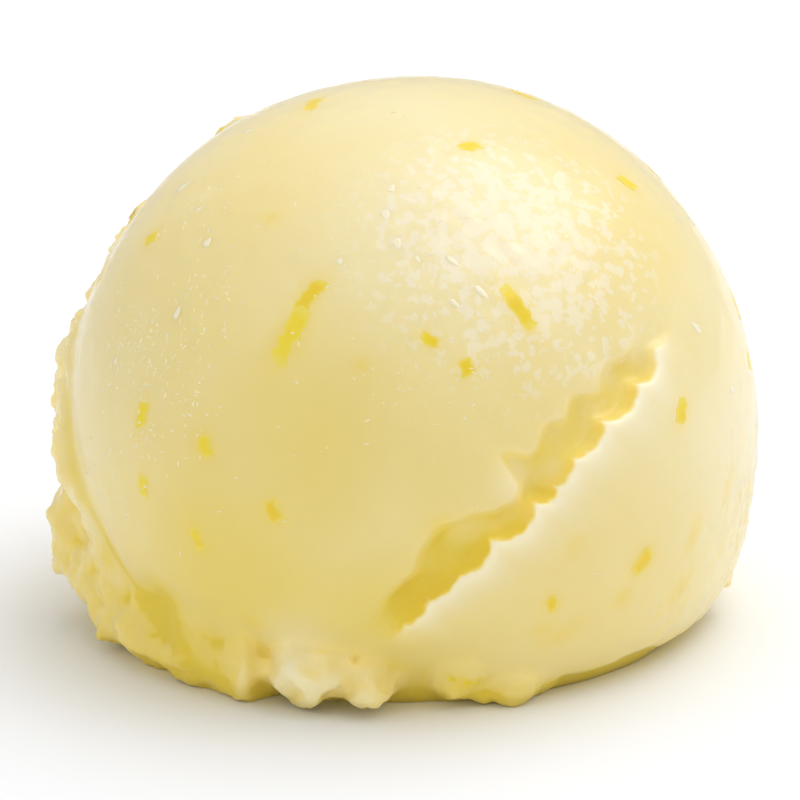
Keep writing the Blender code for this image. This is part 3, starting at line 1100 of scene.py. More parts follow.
def mottle_group() -> bpy.types.NodeTree:
    """Makes the group of uneven blotches: soft noise of one size, spread round zero.

    Returns:
        A group with inputs Vector, Scale and Amount, and the output Value.
    """
    kinds = {"Vector": "Vector", "Scale": "Float", "Amount": "Float"}
    graph, given, out = new_group("soft_mottle", kinds, "Value")
    noise = graph.node("ShaderNodeTexNoise")
    graph.feed(noise, Vector=given["Vector"], Scale=given["Scale"], Detail=2.0)
    spread_out = graph.maths("SUBTRACT", noise.outputs["Fac"], 0.5)
    graph.feed(out, Value=graph.maths("MULTIPLY", spread_out, given["Amount"]))
    return graph.tree


def grain_group() -> bpy.types.NodeTree:
    """Makes the group of frozen grain: round grains, and a finer noise at a lower height.

    Returns:
        A group with inputs Vector and Scale, and the output Height.
    """
    finer_times = 1.7
    noise_height = 0.6
    kinds = {"Vector": "Vector", "Scale": "Float"}
    graph, given, out = new_group("frozen_grain", kinds, "Height")
    grains = graph.node("ShaderNodeTexVoronoi", feature="F1")
    graph.feed(grains, Vector=given["Vector"], Scale=given["Scale"])
    finer = graph.maths("MULTIPLY", given["Scale"], finer_times)
    noise = graph.node("ShaderNodeTexNoise")
    graph.feed(noise, Vector=given["Vector"], Scale=finer, Detail=2.0)
    domes = graph.maths("SUBTRACT", 1.0, grains.outputs["Distance"])
    low = graph.maths("MULTIPLY", noise.outputs["Fac"], noise_height)
    graph.feed(out, Height=graph.maths("ADD", domes, low))
    return graph.tree


def highlight_scales_group() -> bpy.types.NodeTree:
    """Makes the group of highlight scales, the cells of the painted highlight: flat cells of uneven
    size with ragged outlines, shaped like frost scales.

    Returns:
        A group with inputs Vector, Scale and Bend, and the output Height.
    """
    finer_times = 1.3
    kinds = {"Vector": "Vector", "Scale": "Float", "Bend": "Vector"}
    graph, given, out = new_group("highlight_scales", kinds, "Height")
    noise = graph.node("ShaderNodeTexNoise")
    finer = graph.maths("MULTIPLY", given["Scale"], finer_times)
    graph.feed(noise, Vector=given["Vector"], Scale=finer, Detail=2.0)
    bent = graph.node("ShaderNodeVectorMath", operation="MULTIPLY_ADD")
    graph.put(bent.inputs[0], noise.outputs["Color"])
    graph.put(bent.inputs[1], given["Bend"])
    graph.put(bent.inputs[2], given["Vector"])
    cells = graph.node("ShaderNodeTexVoronoi", feature="F1")
    graph.feed(cells, Vector=bent.outputs["Vector"], Scale=given["Scale"])
    flat = graph.maths("SUBTRACT", 1.0, cells.outputs["Distance"])
    graph.feed(out, Height=graph.maths("ADD", flat, noise.outputs["Fac"]))
    return graph.tree


def new_material(name: str) -> tuple[bpy.types.Material, Graph, bpy.types.Node]:
    """Makes a material, and gives it with its graph and its Principled shader.

    Args:
        name: The material's name.

    Returns:
        The material, its graph and its shader.
    """
    material = bpy.data.materials.new(name)
    material.use_nodes = True
    return material, Graph(material.node_tree), material.node_tree.nodes["Principled BSDF"]


@dataclass(frozen=True)
class SorbetFinish:
    """Frozen lemon sorbet: pale cream, damp and translucent, made deep yellow in its hollows and
    low down by painted shade.
    """

    pale: tuple = (0.93, 0.80, 0.40, 1)
    mid: tuple = (0.90, 0.71, 0.25, 1)
    # deep and recess are painted shade, mixed in by the hollow value.
    deep: tuple = (0.87, 0.675, 0.12, 1)
    recess: tuple = (0.81, 0.61, 0.06, 1)
    zest_tint: tuple = (0.93, 0.66, 0.03, 1)
    # Pale rime, also the colour of painted highlight and sheen and of ridges painted paler.
    rime_and_highlight: tuple = (0.97, 0.92, 0.72, 1)
    # The colour of the painted highlight patches where the cap shines.
    painted_highlight: tuple = (0.985, 0.93, 0.85, 1)
    # Every scale counts the pattern's cells in a metre. Every range has the values between which
    # a colour or a mask comes in.
    blotch_scale: float = 110.0
    blotch_amount: float = 0.9
    blotch_range: tuple = (-0.6, 0.6)
    deep_range: tuple = (0.0, 0.95)
    recess_range: tuple = (0.75, 1.0)
    rime_and_highlight_range: tuple = (0.0, 1.0)
    # The painted highlight: cells shaped like frost scales, packed closer in the glazed zone where
    # the cap shines.
    highlight_scale: float = 900.0
    highlight_bend: tuple = (0.0016, 0.0016, 0.0016)
    highlight_packing: float = 0.5
    highlight_range: tuple = (1.22, 1.44)
    highlight_zone_range: tuple = (0.1, 0.5)
    highlight_share: float = 0.36
    # The roughness of the cap, what torn surface adds, the least in a full hollow, and the uneven
    # part.
    cap_roughness: float = 0.32
    torn_roughness: float = 0.16
    hollow_roughness: float = 0.6
    uneven_scale: float = 700.0
    uneven_amount: float = 0.12
    coat: float = 0.6
    dry_range: tuple = (0.3, 0.9)
    coarse_scale: float = 1500.0
    fine_scale: float = 4200.0
    cap_grain: float = 0.35
    fine_grain: float = 0.25
    bump_strength: float = 0.5
    bump_distance: float = 0.04 * MM

    def material(
        self, mottle: bpy.types.NodeTree, grain: bpy.types.NodeTree, scale: bpy.types.NodeTree
    ) -> bpy.types.Material:
        """Makes the material.

        Args:
            mottle: The group of soft blotches.
            grain: The group of frozen grain.
            scale: The group of highlight scales, the cells of the painted highlight.

        Returns:
            The material, which reads the mesh's hollow value for painted shade, its rime value for
            rime and painted highlight, and its torn, tint and glaze values.
        """
        material, graph, surface = new_material("lemon_sorbet")
        surface.subsurface_method = "BURLEY"
        place = graph.place()
        hollow, torn = graph.value_of(Trace.HOLLOW_SHADE), graph.value_of(Trace.TORN)
        colour = self.base_colour(graph, place, hollow, mottle)
        # Painted highlight: pale patches where the cap shines.
        colour = graph.mix(self.glints(graph, place, scale), colour, self.painted_highlight)
        colour = graph.mix(graph.value_of(Trace.TINT), colour, self.zest_tint)

        bump = graph.node("ShaderNodeBump")
        height = self.height(graph, place, torn, grain)
        graph.feed(bump, Height=height, Strength=self.bump_strength, Distance=self.bump_distance)

        dry = graph.maths("MULTIPLY", graph.ramp(hollow, *self.dry_range), self.coat)
        graph.feed(
            surface,
            Base_Color=colour,
            Roughness=self.roughness(graph, place, hollow, torn, mottle),
            Coat_Weight=graph.maths("SUBTRACT", self.coat, dry),
            Normal=bump.outputs["Normal"],
            IOR=1.36,
            Subsurface_Weight=1.0,
            Subsurface_Radius=(1.0, 0.75, 0.28),
            Subsurface_Scale=2.4 * MM,
            Coat_Roughness=0.16,
            Coat_IOR=1.33,
            Sheen_Weight=0.12,
            Sheen_Roughness=0.5,
        )
        return material

    def base_colour(
        self,
        graph: Graph,
        place: bpy.types.NodeSocket,
        hollow: bpy.types.NodeSocket,
        mottle: bpy.types.NodeTree,
    ) -> bpy.types.NodeSocket:
        """Mixes the colour: blotches of two creams, deeper by painted shade and paler by rime and
        painted highlight.

        Args:
            graph: The material's graph.
            place: The place in the piece's own axes.
            hollow: The mesh's hollow value, the share of painted shade.
            mottle: The group of soft blotches.

        Returns:
            The colour's socket.
        """
        blotch = graph.group(
            mottle, Vector=place, Scale=self.blotch_scale, Amount=self.blotch_amount
        )
        colour = graph.mix(graph.ramp(blotch, *self.blotch_range), self.mid, self.pale)
        # Painted shade: deeper yellow, then recess yellow, by the hollow value.
        colour = graph.mix(graph.ramp(hollow, *self.deep_range), colour, self.deep)
        colour = graph.mix(graph.ramp(hollow, *self.recess_range), colour, self.recess)
        # Paler by rime, and by painted highlight and sheen.
        rime_and_highlight = graph.ramp(graph.value_of(Trace.RIME_AND_HIGHLIGHT), *self.rime_and_highlight_range)
        return graph.mix(rime_and_highlight, colour, self.rime_and_highlight)

    def glints(
        self, graph: Graph, place: bpy.types.NodeSocket, scale: bpy.types.NodeTree
    ) -> bpy.types.NodeSocket:
        """Gives the share of painted highlight: pale patches shaped like frost scales, closer where
        the cap is glazed and shines.

        Args:
            graph: The material's graph.
            place: The place in the piece's own axes.
            scale: The group of highlight scales.

        Returns:
            The share's socket.
        """
        glaze_and_highlight = graph.value_of(Trace.GLAZE_AND_HIGHLIGHT)
        scales = graph.group(scale, Vector=place, Scale=self.highlight_scale, Bend=self.highlight_bend)
        packing = graph.maths("MULTIPLY", glaze_and_highlight, self.highlight_packing)
        packed = graph.maths("ADD", scales, packing)
        shown = graph.ramp(packed, *self.highlight_range)
        glints = graph.maths("MULTIPLY", shown, graph.ramp(glaze_and_highlight, *self.highlight_zone_range))
        return graph.maths("MULTIPLY", glints, self.highlight_share)

    def roughness(
        self,
        graph: Graph,
        place: bpy.types.NodeSocket,
        hollow: bpy.types.NodeSocket,
        torn: bpy.types.NodeSocket,
        mottle: bpy.types.NodeTree,
    ) -> bpy.types.NodeSocket:
        """Gives the roughness: more on torn surface and in hollows, and uneven all over.

        Args:
            graph: The material's graph.
            place: The place in the piece's own axes.
            hollow: The mesh's hollow value.
            torn: The mesh's torn value.
            mottle: The group of soft blotches.

        Returns:
            The roughness's socket.
        """
        small = graph.group(
            mottle, Vector=place, Scale=self.uneven_scale, Amount=self.uneven_amount
        )
        rough = graph.maths("MULTIPLY_ADD", torn, self.torn_roughness, self.cap_roughness)
        dull = graph.maths("MULTIPLY", hollow, self.hollow_roughness)
        return graph.maths("ADD", graph.maths("MAXIMUM", rough, dull), small)

    def height(
        self,
        graph: Graph,
        place: bpy.types.NodeSocket,
        torn: bpy.types.NodeSocket,
        grain: bpy.types.NodeTree,
    ) -> bpy.types.NodeSocket:
        """Gives the height of coarse grain, most where the surface is torn, and of fine grain.

        Args:
            graph: The material's graph.
            place: The place in the piece's own axes.
            torn: The mesh's torn value.
            grain: The group of frozen grain.

        Returns:
            The height's socket.
        """
        coarse = graph.group(grain, Vector=place, Scale=self.coarse_scale)
        fine = graph.group(grain, Vector=place, Scale=self.fine_scale)
        coarse = graph.maths("MULTIPLY", coarse, graph.maths("ADD", torn, self.cap_grain))
        return graph.maths("ADD", coarse, graph.maths("MULTIPLY", fine, self.fine_grain))


@dataclass(frozen=True)
class ZestFinish:
    """Shreds of lemon peel: saturated yellow under a thin damp film."""

    bright: tuple = (0.92, 0.71, 0.02, 1)
    ripe: tuple = (0.90, 0.63, 0.02, 1)
    soft: tuple = (0.91, 0.73, 0.11, 1)
    blotch_scale: float = 1100.0
    blotch_amount: float = 1.2

    def material(self, mottle: bpy.types.NodeTree) -> bpy.types.Material:
        """Makes the material, which mixes its two yellows by shred and by soft blotches.

        Args:
            mottle: The group of soft blotches.

        Returns:
            The material, which reads the ripeness and edge values.
        """
        material, graph, surface = new_material("lemon_zest")
        blotch = graph.group(
            mottle, Vector=graph.place(), Scale=self.blotch_scale, Amount=self.blotch_amount
        )
        ripeness = graph.maths("ADD", graph.value_of(Trace.RIPENESS), blotch)
        colour = graph.mix(graph.ramp(ripeness, 0.0, 1.0), self.bright, self.ripe)
        colour = graph.mix(graph.value_of(Trace.EDGE), colour, self.soft)
        graph.feed(
            surface, Base_Color=colour, Roughness=0.34, Coat_Weight=0.15, Coat_Roughness=0.15
        )
        return material


@dataclass(frozen=True)
class IceFinish:
    """Frozen melt: pale yellow, whiter and cloudy in places, and smooth."""

    clear: tuple = (0.95, 0.85, 0.55, 1)
    cloudy: tuple = (0.97, 0.91, 0.68, 1)
    blotch_scale: float = 900.0
    blotch_amount: float = 1.4
    blotch_range: tuple = (-0.5, 0.5)

    def material(self, mottle: bpy.types.NodeTree) -> bpy.types.Material:
        """Makes the material, which mixes its two colours by soft blotches.

        Args:
            mottle: The group of soft blotches.

        Returns:
            The material.
        """
        material, graph, surface = new_material("frozen_melt")
        blotch = graph.group(
            mottle, Vector=graph.place(), Scale=self.blotch_scale, Amount=self.blotch_amount
        )
        colour = graph.mix(graph.ramp(blotch, *self.blotch_range), self.clear, self.cloudy)
        graph.feed(
            surface,
            Base_Color=colour,
            Roughness=0.1,
            IOR=1.31,
            Coat_Weight=1.0,
            Coat_Roughness=0.05,
        )
        return material


@dataclass
class SorbetBody:
    """The sorbet itself, as one skin from ball, crumbs and hollows."""

    ball: Ball = field(default_factory=Ball)
    skirt: Skirt = field(default_factory=Skirt)
    divisions: int = 150
    voxel: float = 0.27 * MM
    soften_rounds: int = 2
    triangles: int = 190_000
    floor_block: float = 90 * MM
    # The heights between which the skirt ends, and how far from the ball it begins and is full, mm.
    skirt_heights: tuple = (9, 13)
    skirt_outside: tuple = (0.2, 0.9)
    ripple_size: float = 2.6 * MM
    ripple_height: float = 0.025 * MM
    # Where the cap is rippled most and its highlight is painted: azimuth and elevation, and the
    # ripples' heading.
    glaze_and_highlight: tuple = (25.0, 46.0, -45.0)
    glaze_and_highlight_reach: float = 12.0 * MM
    glaze_size: float = 1.4 * MM
    glaze_height: float = 0.04 * MM
    glaze_drawn: float = 0.15
    crumb_size: float = 2.0 * MM
    crumb_height: float = 0.38 * MM
    small_crumb_size: float = 1.1 * MM
    small_crumb_height: float = 0.2 * MM
    crumb_warp: float = 0.4 * MM
    # The height of the crumbs' field that leaves the skin where it is.
    crumb_level: float = 0.6
    # The small crumbs come in patches of this size, between these heights of slow waves.
    patch_size: float = 6 * MM
    patch_range: tuple = (-0.7, 0.7)
    skirt_roughness: float = 0.18
    # The rounds that soften the big front crumb, and how many more the other crumbs have. Half of
    # the gap that the melting closes on the left, and the share of relief that is left there.
    crisp_rounds: int = 12
    melted_rounds: int = 44
    melted_gap: float = 1.1 * MM
    melted_relief: float = 0.35
    # Where the foot is melted: the shares to the left between which it begins, and the heights in
    # mm between which it ends.
    melted_left: tuple = (-0.05, 0.35)
    melted_heights: tuple = (11, 17)
    # Where the rolled sheet is frosted: azimuth and elevation, reach in mm, and most relief.
    frosted: tuple = ((76, -12, 9.0, 0.42), (50, -22, 6.0, 0.22))
    lump_size: float = 2.2 * MM
    lump_height: float = 0.15 * MM
    grain_size: float = 1.0 * MM
    grain_height: float = 0.045 * MM
    fine_waves: int = 40

    def build(self) -> bpy.types.Object:
        """Makes the skin: joined surfaces, melted together, cut by hollows and table, refined.

        Returns:
            The skin, smooth shaded.
        """
        centre = np.array(self.ball.centre)
        sphere, squares = sphere_grid(self.divisions)
        ball = centre + sphere * self.ball.radius_at(sphere)[:, None]
        lumps, hollows, lump_squares = self.skirt.surfaces(centre)
        lump_points, lump_faces = joined(lumps, lump_squares)
        points = np.concatenate([ball, lump_points])
        faces = np.concatenate([squares, lump_faces + len(ball)])
        skin = new_object("sorbet_body", new_mesh("sorbet_body", points, faces))
        self.melt(skin)
        cutter = new_object("hollows", new_mesh("hollows", *joined(hollows, lump_squares)))
        self.cut(skin, cutter)
        self.swell_melted(skin.data, self.melted_gap)
        self.melt(skin)
        self.swell_melted(skin.data, -self.melted_gap)
        self.soften_skirt(skin.data)
        self.add_relief(skin.data)
        self.cut(skin, self.table_block())
        self.thin(skin)
        skin.data.shade_smooth()
        return skin

    def melt(self, skin: bpy.types.Object) -> None:
        """Turns overlapping surfaces into one skin of small squares, and softens it.

        Args:
            skin: The object that holds the surfaces.
        """
        blend = skin.modifiers.new("blend", "REMESH")
        blend.mode = "VOXEL"
        blend.voxel_size = self.voxel
        soften = skin.modifiers.new("soften", "SMOOTH")
        soften.factor = 0.5
        soften.iterations = self.soften_rounds
        apply_modifiers(skin)

    def cut(self, skin: bpy.types.Object, cutter: bpy.types.Object) -> None:
        """Cuts another object's volume out of the skin, and removes that object.

        Args:
            skin: The object to cut.
            cutter: The object whose volume is taken out.
        """
        modifier = skin.modifiers.new("cut", "BOOLEAN")
        modifier.operation = "DIFFERENCE"
        modifier.solver = "MANIFOLD"
        modifier.object = cutter
        apply_modifiers(skin)
        bpy.data.objects.remove(cutter)

    def table_block(self) -> bpy.types.Object:
        """Makes the block under the table's plane that cuts the flat base.

        Returns:
            The block.
        """
        corners = np.array(list(np.ndindex(2, 2, 2))) - np.array([0.5, 0.5, 1.0])
        sides = np.array(
            [[0, 1, 3, 2], [4, 6, 7, 5], [0, 4, 5, 1], [2, 3, 7, 6], [0, 2, 6, 4], [1, 5, 7, 3]]
        )
        mesh = new_mesh("table_block", corners * self.floor_block, sides)
        return new_object("table_block", mesh)

    def thin(self, skin: bpy.types.Object) -> None:
        """Merges points where the skin is even, until few enough triangles are left.

        Args:
            skin: The object to thin.
        """
        skin.data.calc_loop_triangles()
        modifier = skin.modifiers.new("thin", "DECIMATE")
        modifier.ratio = min(1.0, self.triangles / len(skin.data.loop_triangles))
        apply_modifiers(skin)

    def zones(self, points: Array) -> tuple[Array, Array, Array]:
        """Finds what kind of surface points lie on.

        Args:
            points: Places on the skin, one row each.

        Returns:
            Shares from 0 to 1 of torn surface, of skirt and of groove.
        """
        directions, distances = self.ball.directions_of(points)
        torn = self.ball.rim.torn_share(directions)
        outside = distances - self.ball.radius_at(directions)
        low = 1 - step_over(points[:, 2], self.skirt_heights)
        skirt = step_over(outside, self.skirt_outside) * low
        return torn, skirt, self.ball.seam.groove_share(directions)

    def swell_melted(self, mesh: bpy.types.Mesh, rise: float) -> None:
        """Moves the melted foot's points out along their normals, or in if rise is negative.

        Gaps that close while it is swollen are closed for good by the melting that follows.

        Args:
            mesh: The skin's mesh.
            rise: How far.
        """
        points = points_of(mesh)
        share = self.melted_share(points)[:, None]
        place_points(mesh, points + normals_of(mesh) * rise * share)

    def soften_skirt(self, mesh: bpy.types.Mesh) -> None:
        """Melts the skirt's crumbs together and, on the left, into the ball's foot.

        The points are pulled towards their neighbours' mean, the big front crumb's less.

        Args:
            mesh: The skin's mesh.
        """
        points = points_of(mesh)
        edges = edges_of(mesh)
        _, skirt, _ = self.zones(points)
        directions, _ = self.ball.directions_of(points)
        crisp = self.skirt.crisp_share(directions)[:, None]
        rounded = spread(points, edges, self.crisp_rounds)
        melted = spread(rounded, edges, self.melted_rounds)
        softened = melted + (rounded - melted) * crisp
        share = np.maximum(skirt, self.melted_share(points))[:, None]
        place_points(mesh, points + (softened - points) * share)

    def melted_share(self, points: Array) -> Array:
        """Gives 1 at the foot on the left, where the crumbs melted into the ball, and 0 beyond.

        Args:
            points: Places on the skin, one row each.

        Returns:
            A share from 0 to 1 for each point.
        """
        directions, _ = self.ball.directions_of(points)
        left = smooth_step(-directions[:, 0], *self.melted_left)
        low = 1 - step_over(points[:, 2], self.melted_heights)
        return left * low * (1 - self.skirt.crisp_share(directions))

    def fine_field(self, points: Array, wavelength: float, seed: int) -> Array:
        """Adds up many plane waves, so that no direction stands out in the fine relief."""
        return waves(points, wavelength, seed, self.fine_waves)

    def cap_relief(self, points: Array) -> Array:
        """Gives the glossy cap's relief: low waves, and finer ripples round the glaze's middle.

        The ripples are waves of points that are pulled together a little along the heading, so that
        they are longer than wide.

        Args:
            points: Places on the skin, one row each.

        Returns:
            The height for each point.
        """
        _, along, _ = lying_axes(*self.glaze_and_highlight)
        drawn = points - self.glaze_drawn * (points @ along)[:, None] * along
        ripples = self.glaze_height * self.fine_field(drawn, self.glaze_size, seed=5)
        low = self.ripple_height * self.fine_field(points, self.ripple_size, seed=6)
        return low + ripples * self.glaze_and_highlight_share(points)

    def glaze_and_highlight_share(self, points: Array) -> Array:
        """Gives 1 at the middle of the glaze and of the painted highlight, falling off as a bell
        curve.

        Args:
            points: Places on the skin, one row each.

        Returns:
            A share from 0 to 1 for each point.
        """
        directions, _ = self.ball.directions_of(points)
        azimuth, elevation, _ = self.glaze_and_highlight
        arc = angle_from(directions, azimuth, elevation) * self.ball.radius
        return hump(arc, self.glaze_and_highlight_reach)

    def packed_crumbs(self, points: Array) -> Array:
        """Gives the height of packed crumbs of two sizes, bent by waves, the small in patches.

        Args:
            points: Places on the skin, one row each.

        Returns:
            The height for each point.
        """
        bent = points + self.crumb_warp * np.stack(
            [waves(points, self.crumb_size, seed) for seed in (31, 32, 33)], axis=1
        )
        large = crumbs(bent, self.crumb_size, seed=3) - self.crumb_level
        small = crumbs(bent, self.small_crumb_size, seed=4) - self.crumb_level
        scattered = smooth_step(waves(points, self.patch_size, seed=34), *self.patch_range)
        return self.crumb_height * large + self.small_crumb_height * small * scattered

    def add_relief(self, mesh: bpy.types.Mesh) -> None:
        """Moves the points along their normals by the fine relief.

        The cap has its ripples. Torn surface, skirt and frosted places have packed crumbs, and torn
        surface and skirt have fine waves of two lengths.

        Args:
            mesh: The skin's mesh.
        """
        points = points_of(mesh)
        torn, skirt, groove = self.zones(points)
        directions, _ = self.ball.directions_of(points)
        rough = np.clip(torn + self.skirt_roughness * skirt, 0, 1)
        rough = rough * (1 - (1 - self.melted_relief) * self.melted_share(points))
        rough = np.maximum(rough, self.ball.patches(directions, self.frosted))
        grains = self.grain_height * self.fine_field(points, self.grain_size, seed=22)
        grains = grains + self.lump_height * self.fine_field(points, self.lump_size, seed=23)
        cap = (1 - rough) * (1 - groove) * self.cap_relief(points)
        relief = cap + rough * self.packed_crumbs(points) + np.clip(torn + skirt, 0, 1) * grains
        place_points(mesh, points + normals_of(mesh) * relief[:, None])


@dataclass
class Strips:
    """Thin torn strips that lie on the sorbet, bent to it and following its relief."""

    thickness: float
    proud: float
    lengthwise: int
    across: int
    taper: float
    tear: float
    tear_wave: float
    slant: float
    curve: float
    # The seeds of the rule for the places, of the ripeness and of the first strip's shape.
    seed: int
    ripeness_seed: int = 31
    strip_seed: int = 600
    # How far from a strip's middle its edge begins, as a share, and the angle in degrees from which
    # its folds are sharp.
    edge_begins: float = 0.5
    sharp_angle: float = 50.0

    def patch(self) -> tuple[Array, Array]:
        """Makes a flat grid: u runs along from -1 to 1, and v across from -1 to 1.

        Returns:
            The grid's u and v, one row each, and its squares.
        """
        u, v = np.meshgrid(
            np.linspace(-1, 1, self.lengthwise + 1),
            np.linspace(-1, 1, self.across + 1),
            indexing="ij",
        )
        step = self.across + 1
        corner = (np.arange(self.lengthwise)[:, None] * step + np.arange(self.across)).ravel()
        squares = np.stack([corner, corner + step, corner + step + 1, corner + 1], axis=1)
        return np.stack([u.ravel(), v.ravel()], axis=1), squares

    def strip_points(self, patch: Array, strip: tuple, ball: Ball, seed: int) -> Array:
        """Shapes one strip as a flat torn patch bent round the ball.

        Along the strip x is u plus a slant times v. Its half width falls by the taper times u to
        the fourth, and waves that differ on the two sides tear it. It is curved sideways by u
        squared, and each point is pulled to the ball's radius in its direction.

        Args:
            patch: The grid's u and v, one row each.
            strip: Azimuth, elevation, heading, length and width, in degrees and mm.
            ball: The ball that it lies on.
            seed: Picks the slant, the curve and the waves.

        Returns:
            The strip's points on the ball.
        """
        azimuth, elevation, heading, length, width = strip
        random = np.random.default_rng(seed)
        slant, curve = random.uniform((-self.slant, -self.curve), (self.slant, self.curve))
        u, v = patch[:, 0], patch[:, 1]
        edge = np.stack([u * length / 2 * MM, np.sign(v) * MM, np.zeros(len(u))], axis=1)
        half_width = 1 - self.taper * u**4 + self.tear * waves(edge, self.tear_wave, seed)
        x = (u * length / 2 + slant * v * width / 2) * MM
        y = (v * half_width + curve * u**2) * width / 2 * MM
        out, along, beside = lying_axes(azimuth, elevation, heading)
        flat = out * ball.radius + x[:, None] * along + y[:, None] * beside
        directions = flat / np.linalg.norm(flat, axis=1, keepdims=True)
        return np.array(ball.centre) + directions * ball.radius_at(directions)[:, None]

    def lay(
        self, name: str, strips: list[tuple], ball: Ball, skin: bpy.types.Object
    ) -> bpy.types.Object:
        """Makes all strips as one object, laid on the skin and thickened inwards.

        Args:
            name: The object's name.
            strips: What strip_points takes, for each strip.
            ball: The ball that they lie on.
            skin: The finished skin, whose relief they follow.

        Returns:
            The object, each point with its strip's ripeness and its nearness to the edge.
        """
        patch, squares = self.patch()
        pieces = [
            self.strip_points(patch, strip, ball, self.strip_seed + index)
            for index, strip in enumerate(strips)
        ]
        mesh = new_mesh(name, *joined(pieces, squares))
        ripeness = np.random.default_rng(self.ripeness_seed).uniform(0, 1, len(strips))
        store(mesh, Trace.RIPENESS, np.repeat(ripeness, len(patch)))
        edge = smooth_step(np.abs(patch).max(axis=1), self.edge_begins, 1.0)
        store(mesh, Trace.EDGE, np.tile(edge, len(strips)))
        thing = new_object(name, mesh)
        lay = thing.modifiers.new("lay", "SHRINKWRAP")
        lay.target = skin
        lay.wrap_method = "NEAREST_SURFACEPOINT"
        lay.wrap_mode = "ABOVE_SURFACE"
        lay.offset = self.proud
        thicken = thing.modifiers.new("thicken", "SOLIDIFY")
        thicken.thickness = self.thickness
        thicken.offset = -1.0
        apply_modifiers(thing)
        thing.data.shade_smooth()
        thing.data.set_sharp_from_angle(angle=math.radians(self.sharp_angle))
        thing.visible_shadow = False
        thing.visible_diffuse = False
        return thing


@dataclass
class ZestShreds(Strips):
    """The shreds of zest, sunk until little shows."""

    # Azimuth and elevation on the ball, heading, length and width in mm.
    front: tuple = (
        (-19.5, 37.4, 62, 3.2, 1.4),
        (-21.8, 30.7, 70, 5.0, 1.6),
        (21.0, 35.2, -64, 4.1, 1.2),
        (3.9, 30.9, -30, 1.5, 0.9),
        (10.1, 26.4, -80, 1.4, 1.1),
        (-49.0, 13.5, 82, 2.3, 1.1),
        (-34.6, 11.4, -62, 1.9, 1.2),
        (-47.4, 2.2, -80, 1.8, 1.1),
        (-21.6, 3.0, -60, 1.9, 1.3),
        (-35.6, -3.9, -70, 2.0, 1.0),
        (50.5, 13.9, 60, 2.2, 1.2),
        (41.0, -9.1, 45, 2.4, 1.6),
        (23.8, -13.1, -70, 1.4, 1.0),
        (9.7, -27.7, -10, 2.2, 1.1),
        (25.3, 66.6, 5, 1.8, 1.1),
        (70.0, 50.2, -70, 1.9, 1.2),
        (-66.1, 39.5, 40, 1.5, 1.1),
    )
    # Shreds that lie too deep to show more than a yellow blur, in the same words.
    buried: tuple = (
        (-35.1, 49.6, 30, 1.2, 0.9),
        (-8.1, 26.8, 60, 1.2, 0.8),
        (26.9, -3.4, 70, 1.6, 1.0),
        (-26.7, -16.8, -40, 1.8, 0.9),
        (5.0, 2.0, 30, 1.8, 1.2),
        (23.0, -18.0, 20, 1.6, 1.0),
        (64.0, -2.0, 60, 2.4, 1.2),
        (75.0, -6.0, 50, 2.0, 1.4),
        (53.5, -7.1, 75, 3.4, 1.3),
        (52.7, -17.4, 80, 3.0, 1.8),
        (38.1, -14.7, 60, 1.8, 1.2),
        (27.0, -19.4, 30, 3.0, 1.2),
    )
    # The hidden shreds: how many, and least and most azimuth, sine of the elevation, length and
    # width. They keep this far from the groove's middle.
    back_count: int = 32
    back_azimuth: tuple = (78, 285)
    back_sine: tuple = (-0.25, 0.97)
    back_length: tuple = (1.5, 4.5)
    back_width: tuple = (1.0, 1.6)
    groove_gap: float = 4.5 * MM
    seed: int = 29
    thickness: float = 0.35 * MM
    proud: float = 0.03 * MM
    lengthwise: int = 14
    across: int = 5
    taper: float = 0.25
    tear: float = 0.2
    tear_wave: float = 0.9 * MM
    slant: float = 0.3
    curve: float = 0.18

    def placements(self, seam: Seam) -> list[tuple]:
        """Lists every shred: the front ones as seen, the others by a seeded rule off the groove.

        Args:
            seam: The seam, whose groove they keep off.

        Returns:
            Azimuth, elevation, heading, length and width of each.
        """
        random = np.random.default_rng(self.seed)
        shreds = list(self.front)
        while len(shreds) < len(self.front) + self.back_count:
            azimuth = random.uniform(*self.back_azimuth)
            elevation = math.degrees(math.asin(random.uniform(*self.back_sine)))
            heading = random.uniform(0, 180)
            length = random.uniform(*self.back_length)
            width = random.uniform(*self.back_width)
            angle, across = seam.coordinates(unit(azimuth, elevation)[None, :])
            near = abs(across[0] - seam.middle) < self.groove_gap
            if near and seam.start < angle[0] < seam.end:
                continue
            shreds.append((azimuth, elevation, heading, length, width))
        return shreds

    def build(self, ball: Ball, skin: bpy.types.Object) -> bpy.types.Object:
        """Makes the shreds on the skin as one object."""
        return self.lay("zest_shreds", self.placements(ball.seam), ball, skin)


